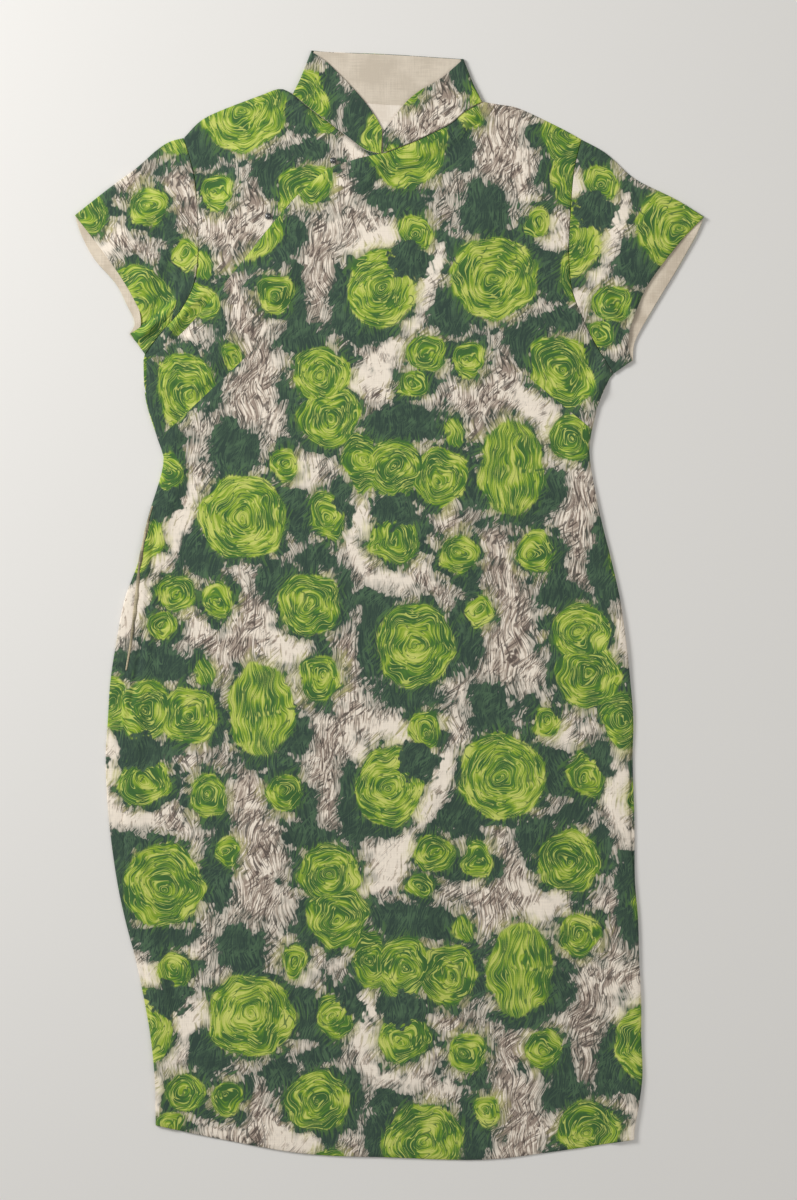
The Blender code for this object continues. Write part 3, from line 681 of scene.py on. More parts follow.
# Columns: name, x, y, half width, half height, turn in degrees, yellowness, is it a striped bud
ROSES = (
    ("great rose", 99, 311, 42, 41, 0, 0.75, 0),
    ("bitten rose", -8, 300, 33, 39, 5, 0.8, 0),
    ("upper twin", -65, 218, 30, 29, 0, 0.35, 0),
    ("lower twin", -57, 178, 30, 31, 0, 0.45, 0),
    ("dart rose", 162, 230, 31, 30, 0, 0.4, 0),
    ("crescent rose", -27, 136, 17, 30, 10, 0.25, 0),
    ("left of the pair", 5, 128, 27, 30, 0, 0.4, 0),
    ("right of the pair", 48, 122, 27, 29, 0, 0.55, 0),
    ("striped bud", 116, 128, 32, 46, 0, 0.65, 1),
    ("side rose", 172, 160, 21, 23, -15, 0.45, 0),
    ("low rose", 24, -38, 39, 40, 0, 0.6, 0),
    ("capped rose", 5, 62, 26, 24, 0, 0.5, 0),
    ("round rose", 65, 48, 19, 21, 0, 0.5, 0),
    ("pale rose", 138, 50, 18, 20, 0, 0.3, 0),
    ("small yellow rose", 85, -7, 13, 15, 0, 0.9, 0),
    ("small rose", 75, 232, 16, 17, 0, 0.45, 0),
    ("curled rose", 35, 238, 20, 19, 0, 0.35, 0),
    ("curled bud", 22, 208, 15, 12, 20, 0.5, 0),
    ("cream side rose", 140, 362, 14, 16, 0, 0.85, 0),
    ("moon rose", -60, 84, 18, 23, 10, 0.45, 0),
    ("high rose", 25, 355, 17, 18, 0, 0.5, 0),
    ("leaf bud", 62, 165, 10, 14, 25, 0.6, 1),
)

# Columns: x, y, half width, half height, turn in degrees
LEAF_SHADE = (
    (90, 374, 26, 30, 0), (58, 277, 22, 28, 25), (152, 315, 18, 28, 10), (-46, 287, 17, 40, 0),
    (-20, 261, 36, 13, 0), (-82, 254, 32, 17, 10), (-88, 180, 12, 25, 0), (130, 254, 24, 19, 30),
    (194, 235, 12, 30, 0), (14, 172, 48, 20, 0), (72, 115, 13, 40, 0), (146, 102, 18, 30, -30),
    (118, 80, 30, 13, 0), (-16, -35, 18, 48, 0), (-8, 8, 26, 14, 0), (73, -25, 19, 38, 0),
    (20, -86, 34, 13, 0), (76, 24, 17, 14, 0), (160, 36, 14, 28, 0), (-44, 106, 15, 17, 0),
    (-98, 96, 24, 26, 0), (-75, 45, 26, 12, 20), (172, 195, 10, 16, 0), (-110, 300, 10, 22, 0),
)
SHADE_OVER_ROSES = ((19, 326, 21, 19, 0), (5, 90, 24, 17, 0), (-44, 96, 9, 20, 30))
BRIGHT_PATCHES = (
    (36, 300, 10, 42, -22), (-12, 345, 36, 12, 25), (-10, 225, 14, 38, -40), (132, 192, 34, 12, -30),
    (-30, 72, 12, 38, 5), (-2, 20, 22, 13, 0), (-95, -50, 20, 22, 0), (156, 352, 12, 13, 0),
    (-86, 120, 18, 11, 0),
)
SCRIBBLED = (
    (-66, 305, 16, 55, 0), (106, 200, 16, 45, 0), (109, 10, 24, 85, 0), (64, 84, 16, 26, 0),
    (88, 180, 24, 18, 0), (-40, -60, 14, 30, 0),
)
print("repeat area:", round(abs(float(np.linalg.det(REPEAT))) / 100), "square centimetres")


# %% One flower's place in the endless repeat
def repeat_group():
    """Takes a place counted in repeats and gives the place within the nearest copy of a motif,
    where 1 is the motif's own edge, and how many millimetres inside that edge it lies."""
    sockets = (("Place", "Vector"), ("Centre", "Vector"), ("Across", "Vector"), ("Up", "Vector"))
    group, given, end = new_group(
        "nearest copy", (*sockets, ("Size", "Float")), (("Local", "Vector"), ("Inside", "Float")),
    )
    offset = vectors(group, "SUBTRACT", given["Place"], given["Centre"])
    wrapped = vectors(group, "SUBTRACT", vectors(group, "FRACTION", offset), (0.5, 0.5, 0.0))
    x = vectors(group, "DOT_PRODUCT", wrapped, given["Across"], result="Value")
    y = vectors(group, "DOT_PRODUCT", wrapped, given["Up"], result="Value")
    local = join(group, x, y)
    distance = vectors(group, "LENGTH", local, result="Value")
    inside = maths(group, "MULTIPLY", maths(group, "SUBTRACT", 1.0, distance), given["Size"])
    wire(group, end, {"Local": local, "Inside": inside})
    return group


def motif(tree, group, place, x, y, half_width, half_height, turn):
    """The group's outputs for one motif of the chart."""
    centre = np.array((x, y)) @ np.linalg.inv(REPEAT) - 0.5
    angle = math.radians(turn)
    across = REPEAT @ np.array((math.cos(angle), math.sin(angle))) / half_width
    up = REPEAT @ np.array((-math.sin(angle), math.cos(angle))) / half_height
    size = math.sqrt(half_width * half_height)
    inputs = {"Place": place, "Centre": (*centre, 0.0), "Across": (*across, 0.0), "Up": (*up, 0.0)}
    return use_group(tree, group, {**inputs, "Size": size})


def in_repeats(tree, place):
    """A place in millimetres counted in the two steps of the repeat."""
    inverse = np.linalg.inv(REPEAT)
    a = vectors(tree, "DOT_PRODUCT", place, (*inverse[:, 0], 0.0), result="Value")
    b = vectors(tree, "DOT_PRODUCT", place, (*inverse[:, 1], 0.0), result="Value")
    return join(tree, a, b)


def deepest(tree, group, place, chart, blend):
    """How many millimetres inside the nearest motif of a chart a place lies."""
    found = None
    for row in chart:
        inside = motif(tree, group, place, *row)["Inside"]
        found = inside if found is None else maths(tree, "SMOOTH_MAX", found, inside, blend)
    return found


# %% The nearest rose
def rose_chart_group(repeat):
    """The nearest rose at a place: where in it, in millimetres from its centre, how deep inside
    it, its yellowness, and whether it is a striped bud."""
    group, given, end = new_group(
        "rose chart",
        (("Place", "Vector"),),
        (("Local", "Vector"), ("Inside", "Float"), ("Kind", "Vector")),
    )
    best, local, kind = None, None, None
    for number, (_, x, y, half_width, half_height, turn, yellow, striped) in enumerate(ROSES):
        here = motif(group, repeat, given["Place"], x, y, half_width, half_height, turn)
        seen = vectors(group, "MULTIPLY", here["Local"], (half_width, half_height, 0.0))
        what = (yellow, float(striped), float(number))
        if best is None:
            best, local = here["Inside"], seen
            kind = join(group, *what)
            continue
        nearer = maths(group, "GREATER_THAN", here["Inside"], best)
        local = chosen(group, nearer, local, seen)
        kind = chosen(group, nearer, kind, what)
        best = maths(group, "MAXIMUM", best, here["Inside"])
    wire(group, end, {"Local": local, "Inside": best, "Kind": kind})
    return group


# %% Colours of the print
LEAF_DARK = shade(54, 73, 64)
LEAF_SOFT = shade(84, 112, 84)
LEAF_GREEN = shade(86, 122, 62)
ROSE_DEEP = shade(66, 106, 54)
ROSE_GREEN = shade(88, 132, 52)
ROSE_LIME = shade(150, 178, 54)
ROSE_YELLOW = shade(204, 212, 110)
YELLOW_WASH = shade(206, 204, 128)
CREAM = shade(248, 236, 219)
CREAM_SHADOW = shade(206, 191, 174)
SCRIBBLE = shade(142, 124, 112)
SCRIBBLE_DARK = shade(84, 74, 68)
print("cream as light:", [round(channel, 3) for channel in CREAM])


# %% Lines scratched along the middle value of a noise
# Share of a line's width that is at full strength
SCRATCH_CORE = 0.35


def scratch(tree, value, width):
    """1 on thin lines where a noise passes its middle, 0 away from them."""
    away = maths(tree, "ABSOLUTE", maths(tree, "SUBTRACT", value, 0.5))
    return step_between(tree, away, width, width * SCRATCH_CORE)


# %% Strokes inside a rose
# Millimetres: how far the strokes swirl, and how wide the broad and the fine strokes are
SWIRL_SIZE, SWIRL_REACH = 19.0, 11.0
BROAD_STROKE, FINE_STROKE = 6.0, 1.7
# Millimetres along a stroke before it changes, in a round rose and in a striped bud
ROSE_STROKE_LENGTH, BUD_STROKE_LENGTH = 17.0, 34.0
# Spacing in millimetres and line width, as a share of the noise's range
LIGHT_SCRATCH = (1.9, 0.05)
DARK_SCRATCH = (3.4, 0.035)
# A bud's ribs bulge less the larger the first is, in square millimetres, and close in no further
# at its tips than the second
RIB_CURVE = 2700.0
RIB_PINCH = 0.2
LIGHT_STRENGTH, DARK_STRENGTH = 0.85, 0.8
# How much the fine strokes and a flower's own yellowness change its tone
FINE_SHARE, YELLOW_SHARE = 0.9, 0.22
ROSE_TONES = ((0.26, ROSE_DEEP), (0.48, ROSE_GREEN), (0.66, ROSE_LIME), (0.86, ROSE_YELLOW))


def across_strokes(group, petal, striped):
    """Millimetres across the strokes: from a rose's middle, or from rib to rib of a striped bud."""
    parts = split(group, petal)
    rings = vectors(group, "LENGTH", petal, result="Value")
    bulge = maths(group, "DIVIDE", maths(group, "MULTIPLY", parts[1], parts[1]), RIB_CURVE)
    bulge = maths(group, "MAXIMUM", maths(group, "SUBTRACT", 1.0, bulge), RIB_PINCH)
    ribs = maths(group, "DIVIDE", parts[0], maths(group, "SQRT", bulge))
    difference = maths(group, "SUBTRACT", ribs, rings)
    return maths(group, "ADD", rings, maths(group, "MULTIPLY", striped, difference))


def rose_paint_group():
    """Colour inside a rose: broad tones, then light and dark scratches round its middle."""
    group, given, end = new_group(
        "rose paint", (("Local", "Vector"), ("Kind", "Vector"), ("Place", "Vector")), (("Color", "Color"),),
    )
    kinds = split(group, given["Kind"])
    yellow, striped, number = kinds[0], kinds[1], kinds[2]
    wander = drift(group, given["Place"], SWIRL_SIZE)
    petal = moved(group, given["Local"], wander, SWIRL_REACH)
    across = across_strokes(group, petal, striped)
    round_it = vectors(group, "MULTIPLY", petal, (1 / ROSE_STROKE_LENGTH, 1 / ROSE_STROKE_LENGTH, 0.0))
    lengthwise = vectors(group, "MULTIPLY", petal, (0.0, 1 / BUD_STROKE_LENGTH, 0.0))
    along = chosen(group, striped, round_it, lengthwise)

    def strokes(width, detail, shift):
        """Noise in lanes of that width. Each shift gives a different set of strokes."""
        lane = maths(group, "ADD", maths(group, "DIVIDE", across, width), number)
        place = vectors(group, "ADD", along, join(group, shift, 0.0, lane))
        return mottle(group, place, 1.0, detail)

    broad = strokes(BROAD_STROKE, 1.0, 0.0)
    fine = strokes(FINE_STROKE, 1.0, 4.0)
    level = nudged(group, nudged(group, broad, fine, FINE_SHARE), yellow, YELLOW_SHARE)
    level = maths(group, "ADD", level, split(group, wander)[2])
    paint = colour_ramp(group, level, ROSE_TONES)
    spacing, width = LIGHT_SCRATCH
    light = scratch(group, strokes(spacing, 0.0, 9.0), width)
    paint = mixed(group, maths(group, "MULTIPLY", light, LIGHT_STRENGTH), paint, ROSE_YELLOW)
    spacing, width = DARK_SCRATCH
    dark = scratch(group, strokes(spacing, 0.0, 14.0), width)
    paint = mixed(group, maths(group, "MULTIPLY", dark, DARK_STRENGTH), paint, ROSE_DEEP)
    wire(group, end, {"Color": paint})
    return group


# %% Scribbles on the cream ground
# Millimetres: how long the bends in the strokes are, and how far they reach
BEND_SIZE, BEND_REACH = 40.0, 24.0
# Strokes a millimetre: across them, along them
BRUSH_STRETCH = (1 / 2.2, 1 / 24, 0.0)
HATCH_STRETCH = (0.13, 0.014, 0.0)
HATCH_LINES = 10.0
HATCH_EDGE = (0.17, 0.07)
# Values of the patches' noise between which the strokes change to their second direction
SWAP_LEVELS = (0.46, 0.54)
# Millimetres inside an open or a scribbled patch between which it comes in, and within which
# neighbouring patches run together
OPEN_EDGE, BUSY_EDGE = (-6.0, 6.0), (-8.0, 8.0)
PATCH_BLEND = 4.0
# How open a scribbled patch counts as, for the leaves that keep back from it
BUSY_OPENNESS = 0.5
# Values of the grain between which a wash and a dry brown stroke come in
WASH_LEVELS, DRY_LEVELS = (0.47, 0.55), (0.56, 0.64)
DRY_STRENGTH, INK_STRENGTH = 0.75, 0.85
# How much scribbled patches, open patches and chance patches of that size add to the scribble, and
# the amounts of it between which its dark ink lines come in
BUSY_AMOUNT, OPEN_AMOUNT, PATCH_AMOUNT = 0.06, -0.08, 0.4
PATCH_SIZE = 15.0
INK_LEVELS = (-0.09, 0.03)
# The second direction of the strokes, turned by about 38 degrees
LEAN_ACROSS = (0.78, -0.62, 0.0)
LEAN_ALONG = (0.62, 0.78, 0.0)


def hatching(group, place):
    """Long thin lines, almost side by side: the contour lines of a stretched noise."""
    field = mottle(group, vectors(group, "MULTIPLY", place, HATCH_STRETCH), 1.0, roughness=0.5)
    line = maths(group, "PINGPONG", maths(group, "MULTIPLY", field, HATCH_LINES), 0.5)
    return step_between(group, line, *HATCH_EDGE)


def ground_paint_group(repeat):
    """Cream ground with washes and dry grey-brown lines. Also gives the brush's own grain, which
    makes the edges of the dark leaves ragged."""
    group, given, end = new_group(
        "ground paint",
        (("Place", "Vector"), ("Repeats", "Vector")),
        (("Color", "Color"), ("Grain", "Float"), ("Lines", "Float"), ("Open", "Float")),
    )
    place = given["Place"]
    bent = moved(group, place, drift(group, place, BEND_SIZE), BEND_REACH)
    lean_x = vectors(group, "DOT_PRODUCT", bent, LEAN_ACROSS, result="Value")
    lean_y = vectors(group, "DOT_PRODUCT", bent, LEAN_ALONG, result="Value")
    lean = join(group, lean_x, lean_y)
    first = mottle(group, vectors(group, "MULTIPLY", bent, BRUSH_STRETCH), 1.0, roughness=0.6)
    second = mottle(group, vectors(group, "MULTIPLY", lean, BRUSH_STRETCH), 1.0, roughness=0.6)
    patches = mottle(group, place, PATCH_SIZE, 3.0)
    swap = step_between(group, patches, *SWAP_LEVELS)
    grain = maths(group, "MULTIPLY_ADD", swap, maths(group, "SUBTRACT", second, first), first)
    bright = deepest(group, repeat, given["Repeats"], BRIGHT_PATCHES, PATCH_BLEND)
    bright = step_between(group, bright, *OPEN_EDGE)
    busy = deepest(group, repeat, given["Repeats"], SCRIBBLED, PATCH_BLEND)
    busy = step_between(group, busy, *BUSY_EDGE)
    amount = maths(group, "MULTIPLY", bright, OPEN_AMOUNT)
    amount = maths(group, "MULTIPLY_ADD", busy, BUSY_AMOUNT, amount)
    amount = nudged(group, amount, patches, PATCH_AMOUNT)
    level = maths(group, "ADD", grain, amount)
    paint = mixed(group, step_between(group, level, *WASH_LEVELS), CREAM, CREAM_SHADOW)
    dry = maths(group, "MULTIPLY", step_between(group, level, *DRY_LEVELS), DRY_STRENGTH)
    paint = mixed(group, dry, paint, SCRIBBLE)
    hatch = maths(group, "MULTIPLY", swap, hatching(group, lean))
    hatch = maths(group, "MAXIMUM", hatch, hatching(group, bent))
    ink = maths(group, "MULTIPLY", hatch, step_between(group, amount, *INK_LEVELS))
    paint = mixed(group, maths(group, "MULTIPLY", ink, INK_STRENGTH), paint, SCRIBBLE_DARK)
    opened = maths(group, "MULTIPLY_ADD", busy, BUSY_OPENNESS, bright)
    wire(group, end, {"Color": paint, "Grain": grain, "Lines": hatch, "Open": opened})
    return group


# %% The dark leaves behind the roses
# Millimetres by which brush strokes break up an edge
LEAF_RAGGED = 18.0
ROSE_RAGGED = 6.5
WASH_RAGGED = 32.5
SHADE_RAGGED = 13.0
GREEN_RAGGED = 55.0
# Millimetres: how large an edge's lobes and wisps are, and how far they move it
LOBE_SIZE, LOBE_REACH = 24.0, 24.0
WISP_SIZE, WISP_REACH, SHADE_WISP_REACH = 9.0, 20.0, 24.0
SHAKE_SIZE, SHAKE_REACH = 21.0, 11.0
# Leaves reach out round a rose where the lobes' noise is above the first, by a share of the second
HALO_MIDDLE, HALO_REACH = 0.42, 60.0
# Millimetres within which neighbouring leaves, and the shades over the roses, run together
LEAF_BLEND, SHADE_BLEND = 5.0, 3.0
# Millimetres by which leaves keep back from open cream
OPEN_RETREAT = -12.0
# Paler patches in the leaves: their size, their noise's levels, how much paler, and least paleness
PALE_SIZE, PALE_LEVELS, PALE_SHARE, PALE_LEAST = 17.0, (0.42, 0.60), 0.55, 0.25
SOFT_LEVELS = (0.46, 0.60)
GREEN_STRENGTH, WASH_STRENGTH = 0.6, 0.6
# Darkness of the fringe that runs out from the leaves, and how much its lines add
FRINGE_TONE, FRINGE_LINES = 0.45, 0.45
# Millimetres inside an edge between which each paint comes in
LEAF_EDGE, FRINGE_EDGE, GREEN_EDGE = (0.0, 3.0), (-17.0, 2.0), (-4.0, 3.0)
ROSE_EDGE, WASH_EDGE, SHADE_EDGE = (-0.5, 2.5), (-12.0, 2.0), (-1.0, 2.5)


def leaf_parts(group, repeat, repeats, bolt, rose_inside, ground):
    """How much of a leaf is at a place, how much of the dark strokes that run out from the leaves
    into the cream, and the leaves' own brushed colours. The leaves keep clear of the open patches."""
    grain = ground["Grain"]
    leaf = deepest(group, repeat, repeats, LEAF_SHADE, LEAF_BLEND)
    uneven = mottle(group, bolt, LOBE_SIZE, 2.0)
    halo = nudged(group, rose_inside, uneven, HALO_REACH, middle=HALO_MIDDLE)
    leaf = maths(group, "SMOOTH_MAX", leaf, halo, LEAF_BLEND)
    leaf = nudged(group, leaf, uneven, LOBE_REACH)
    leaf = nudged(group, leaf, mottle(group, bolt, WISP_SIZE, 1.0), WISP_REACH)
    leaf = nudged(group, leaf, grain, LEAF_RAGGED)
    leaf = maths(group, "MULTIPLY_ADD", ground["Open"], OPEN_RETREAT, leaf)
    pale = step_between(group, mottle(group, bolt, PALE_SIZE), *PALE_LEVELS)
    washed = maths(group, "MULTIPLY_ADD", pale, PALE_SHARE, PALE_LEAST)
    soft = step_between(group, grain, *SOFT_LEVELS)
    shade_paint = mixed(group, maths(group, "MULTIPLY", soft, washed), LEAF_DARK, LEAF_SOFT)
    lines = maths(group, "MULTIPLY", ground["Lines"], washed)
    shade_paint = mixed(group, lines, shade_paint, LEAF_SOFT)
    near = nudged(group, rose_inside, grain, GREEN_RAGGED)
    green = maths(group, "MULTIPLY", step_between(group, near, *GREEN_EDGE), GREEN_STRENGTH)
    leaf_paint = mixed(group, green, shade_paint, LEAF_GREEN)
    inky = maths(group, "MULTIPLY_ADD", ground["Lines"], FRINGE_LINES, FRINGE_TONE)
    fringe = maths(group, "MULTIPLY", inky, step_between(group, leaf, *FRINGE_EDGE))
    return step_between(group, leaf, *LEAF_EDGE), fringe, leaf_paint, shade_paint


# %% The whole print
def print_group():
    """The printed design at a place on the bolt, in millimetres. It is made once and shared."""
    if "rose print" in bpy.data.node_groups:
        return bpy.data.node_groups["rose print"]
    repeat = repeat_group()
    chart = rose_chart_group(repeat)
    rose_paint = rose_paint_group()
    ground_paint = ground_paint_group(repeat)
    group, given, end = new_group("rose print", (("Bolt", "Vector"),), (("Color", "Color"),))
    bolt = given["Bolt"]
    repeats = in_repeats(group, moved(group, bolt, drift(group, bolt, SHAKE_SIZE), SHAKE_REACH))
    rose = use_group(group, chart, {"Place": repeats})
    ground = use_group(group, ground_paint, {"Place": bolt, "Repeats": repeats})
    strokes = use_group(group, rose_paint, {"Local": rose["Local"], "Kind": rose["Kind"], "Place": bolt})
    grain = ground["Grain"]
    leaf, fringe, leaf_paint, shade_paint = leaf_parts(
        group, repeat, repeats, bolt, rose["Inside"], ground
    )
    rim = nudged(group, rose["Inside"], grain, ROSE_RAGGED)
    wash = step_between(group, nudged(group, rose["Inside"], grain, WASH_RAGGED), *WASH_EDGE)
    wash = maths(group, "MULTIPLY", wash, WASH_STRENGTH)
    paint = mixed(group, wash, ground["Color"], YELLOW_WASH)
    paint = mixed(group, fringe, paint, LEAF_DARK)
    paint = mixed(group, leaf, paint, leaf_paint)
    paint = mixed(group, step_between(group, rim, *ROSE_EDGE), paint, strokes["Color"])
    over = deepest(group, repeat, repeats, SHADE_OVER_ROSES, SHADE_BLEND)
    over = nudged(group, over, grain, SHADE_RAGGED)
    over = nudged(group, over, mottle(group, bolt, WISP_SIZE, 1.0), SHADE_WISP_REACH)
    paint = mixed(group, step_between(group, over, *SHADE_EDGE), paint, shade_paint)
    wire(group, end, {"Color": paint})
    return group


# %% [markdown]
# ## Printed cloth, linings and metal
# The dress is a fine plain-woven cloth with a dull, soft face. Its weave is far finer than a pixel
# here, so it is given as bump, with uneven yarns that catch a little light. The collar is lined
# with a greyish cloth and the neck and sleeves are faced with a lighter cream one.

# %% Weave as bump
# Size of the weave in millimetres, and the bump's own depth in metres
YARN = 0.42
WEAVE_DEPTH = 0.0002
# Height of the weave, where its uneven yarns have 1
WEAVE_HEIGHT = 0.3
# Millimetres across an uneven stretch of yarn, and that as a share of the stretch's length
YARN_SIZE, YARN_STRETCH = 0.8, 0.04
# Strength of the bump on the printed cloth and on the linings
PRINT_BUMP, LINING_BUMP = 0.35, 0.5


def weave_bump(tree, place, strength):
    """A plain weave as a normal, and its uneven yarns. place is in millimetres."""
    turn = 2 * math.pi / YARN
    parts = split(tree, place)
    over = maths(tree, "SINE", maths(tree, "MULTIPLY", parts[0], turn))
    under = maths(tree, "SINE", maths(tree, "MULTIPLY", parts[1], turn))
    weave = maths(tree, "MULTIPLY", over, under)
    warp = mottle(tree, vectors(tree, "MULTIPLY", place, (1.0, YARN_STRETCH, 0.0)), YARN_SIZE)
    weft = mottle(tree, vectors(tree, "MULTIPLY", place, (YARN_STRETCH, 1.0, 0.0)), YARN_SIZE)
    yarns = maths(tree, "ADD", warp, weft)
    height = maths(tree, "ADD", maths(tree, "MULTIPLY", weave, WEAVE_HEIGHT), yarns)
    bump = tree.nodes.new("ShaderNodeBump")
    wire(tree, bump, {"Strength": strength, "Distance": WEAVE_DEPTH, "Height": height})
    return bump.outputs["Normal"], yarns


def new_material(name, finish):
    """A material with these values on its shader, as (material, tree, shader)."""
    material = bpy.data.materials.new(name)
    material.use_nodes = True
    tree = material.node_tree
    return material, tree, wire(tree, tree.nodes["Principled BSDF"], finish)


def stored(tree, name):
    """The places stored under a name in a mesh's points."""
    node = tree.nodes.new("ShaderNodeAttribute")
    node.attribute_type = "GEOMETRY"
    node.attribute_name = name
    return node.outputs["Vector"]


CLOTH_FINISH = {
    "Roughness": 0.85, "Specular IOR Level": 0.25, "Sheen Weight": 0.12, "Sheen Roughness": 0.45,
}


# %% Printed cloth
# How light the print is, and how much its yarns change that
PRINT_LIGHT, YARN_LIGHT = 0.93, 0.25
# Millimetres from a dart's line between which the print changes over
DART_EDGE = (-0.1, 0.1)
# Aged patches of a lining: their size in millimetres, how much the yarns add, and their levels
AGE_SIZE, AGE_YARNS, AGE_LEVELS = 26.0, 0.5, (0.3, 0.75)


def printed_cloth(name, darted=False):
    """The printed cloth. On a darted piece the place read changes sharply at the dart's line."""
    material, tree, shader = new_material(name, CLOTH_FINISH)
    place = stored(tree, "bolt")
    if darted:
        upper = stored(tree, "above_dart")
        above = step_between(tree, split(tree, upper)[2], *DART_EDGE)
        place = chosen(tree, above, place, vectors(tree, "MULTIPLY", upper, (1.0, 1.0, 0.0)))
    design = use_group(tree, print_group(), {"Bolt": place})["Color"]
    normal, yarns = weave_bump(tree, place, PRINT_BUMP)
    light = nudged(tree, PRINT_LIGHT, yarns, YARN_LIGHT, middle=1.0)
    lit = vectors(tree, "SCALE", design)
    wire(tree, lit.node, {"Scale": light})
    wire(tree, shader, {"Base Color": lit, "Normal": normal})
    return material


def plain_lining(name, colour, shadow):
    """Plain lining cloth with uneven yarns, a little yellowed and greyed in patches."""
    material, tree, shader = new_material(name, CLOTH_FINISH)
    place = stored(tree, "bolt")
    normal, yarns = weave_bump(tree, place, LINING_BUMP)
    age = mottle(tree, place, AGE_SIZE, 3.0)
    level = nudged(tree, age, yarns, AGE_YARNS, middle=1.0)
    paint = mixed(tree, step_between(tree, level, *AGE_LEVELS), shadow, colour)
    wire(tree, shader, {"Base Color": paint, "Normal": normal})
    return material


ROSE_CLOTH = printed_cloth("printed rose cloth")
FRONT_CLOTH = printed_cloth("printed rose cloth with darts", darted=True)
GREY_LINING = plain_lining("grey collar lining", shade(220, 208, 190), shade(200, 188, 170))
CREAM_LINING = plain_lining("cream facing", shade(244, 234, 220), shade(226, 214, 198))
# The sleeves' facings are the same cream cloth as the neck facing, painted darker as shade.
SHADED_SLEEVE_LINING = plain_lining("cream facing in painted shade", shade(226, 213, 193), shade(200, 186, 166))
PLACKET_BINDING = plain_lining("brownish placket binding", shade(196, 182, 152), shade(112, 106, 84))
print("materials:", [material.name for material in bpy.data.materials])


# %% Darkened metal and thread
# Specks of tarnish: their size in metres and their levels. Roughness of clean metal, and what
# tarnish adds
TARNISH_SIZE, TARNISH_LEVELS = 0.0011, (0.4, 0.62)
CLEAN_ROUGHNESS, TARNISH_ROUGHNESS = 0.25, 0.3
# The wave texture's own scale, for plies this fine
PLY_SCALE = 900.0


def stud_metal():
    """Nickel press studs, dulled by wear, with dark specks of tarnish."""
    material, tree, shader = new_material("dulled stud metal", {"Metallic": 1.0})
    where = tree.nodes.new("ShaderNodeTexCoord").outputs["Object"]
    tarnish = mottle(tree, where, TARNISH_SIZE, 3.0)
    dullness = step_between(tree, tarnish, *TARNISH_LEVELS)
    paint = mixed(tree, dullness, shade(150, 150, 148), shade(62, 62, 64))
    roughness = maths(tree, "MULTIPLY_ADD", tarnish, TARNISH_ROUGHNESS, CLEAN_ROUGHNESS)
    wire(tree, shader, {"Base Color": paint, "Roughness": roughness})
    return material


def thread_material(name, colour, shadow):
    """Sewing thread, two plies twisted together, with painted shade in the grooves between them."""
    material, tree, shader = new_material(name, {"Roughness": 0.7, "Sheen Weight": 0.2})
    where = tree.nodes.new("ShaderNodeTexCoord").outputs["Object"]
    wave = tree.nodes.new("ShaderNodeTexWave")
    wave.bands_direction = "DIAGONAL"
    wire(tree, wave, {"Vector": where, "Scale": PLY_SCALE, "Distortion": 1.0})
    wire(tree, shader, {"Base Color": mixed(tree, wave.outputs["Fac"], shadow, colour)})
    return material


STUD_METAL = stud_metal()
DARK_THREAD = thread_material("dark green thread", shade(58, 74, 62), shade(34, 46, 40))

# %% [markdown]
# ## What lies under the front
# The small front is the part that the big front closes over at the wearer's right. The facing runs
# round the inside of the neck. Both are laid first, because their outlines show through the big
# front as soft steps.

# %% Plans of the hidden pieces
def underlap_grid():
    """Grid of the small front, from its foot to the shoulder and the neck."""
    rows = shares(64, ARMHOLE_LENGTH)
    top, columns = chain(
        (SHOULDER_RIGHT, UNDERLAP_SHOULDER_WEIGHT, shares(24, RIGHT_SHOULDER_LENGTH, end=False)),
        (NECK_RIGHT, UNDERLAP_NECK_WEIGHT, shares(26, RIGHT_NECK_LENGTH, start=False)),
    )
    left = line_through(ARMHOLE_RIGHT, 1 - rows)
    right = line_through(UNDERLAP_EDGE, rows)
    bottom = line_through(UNDERLAP_FOOT, columns)
    left[0], right[-1] = bottom[0], top[-1]
    return spread(left, right, bottom, top, rows, columns)


# Millimetres: how far in the facing's upper corners lie, and how far cloth keeps from a seam's line
FACING_INSET = 10.0
SEAM = 0.45


def neck_facing_grid():
    columns = shares(46, BACK_NECK_LENGTH)
    rows = shares(14, NECK_FACING_HEIGHT)
    top = moved_aside(line_through(BACK_NECK, columns), -SEAM)
    top[0] += (FACING_INSET, -FACING_INSET / 3)
    top[-1] += (-FACING_INSET, -FACING_INSET / 3)
    bottom = line_through(FACING_EDGE, columns)
    left = bottom[0] + (top[0] - bottom[0]) * rows[:, None]
    right = bottom[-1] + (top[-1] - bottom[-1]) * rows[:, None]
    return spread(left, right, bottom, top, rows, columns)


# Millimetres: how far the back's side strips reach in under the front's edge, and the height of
# their upper ends
RETURN_UNDERLAP = 14.0
RETURN_TOP_Y = 204.0


def return_width(side_column, front_column, y):
    return np.abs(body_x(front_column, y) - body_x(side_column, y)) + RETURN_UNDERLAP


def return_outline(side_column, front_column, bottom_y, inward):
    """Plan of the strip that the back lays over onto the front at one side."""
    outer = side_line(side_column, bottom_y, RETURN_TOP_Y, np.linspace(0, 1, 60))
    width = return_width(side_column, front_column, outer[:, 1])
    inner = outer + np.column_stack([inward * width, width * 0])
    return np.vstack([outer, inner[::-1]])


UNDERLAP_GRID = underlap_grid()
FACING_GRID = neck_facing_grid()
PLANS = {
    "underlap": outline_of(UNDERLAP_GRID),
    "facing": outline_of(FACING_GRID),
    "left return": return_outline(BACK_LEFT, FRONT_LEFT, HEM_LEFT_Y, 1),
    "right return": return_outline(BACK_RIGHT, FRONT_RIGHT, HEM_RIGHT_Y, -1),
}
print("plans:", {name: len(plan) for name, plan in PLANS.items()})


# %% The small front and the neck facing
def underlap_layer(points):
    return 1 + cover(points, PLANS["facing"]) + crease_height(points) / PITCH


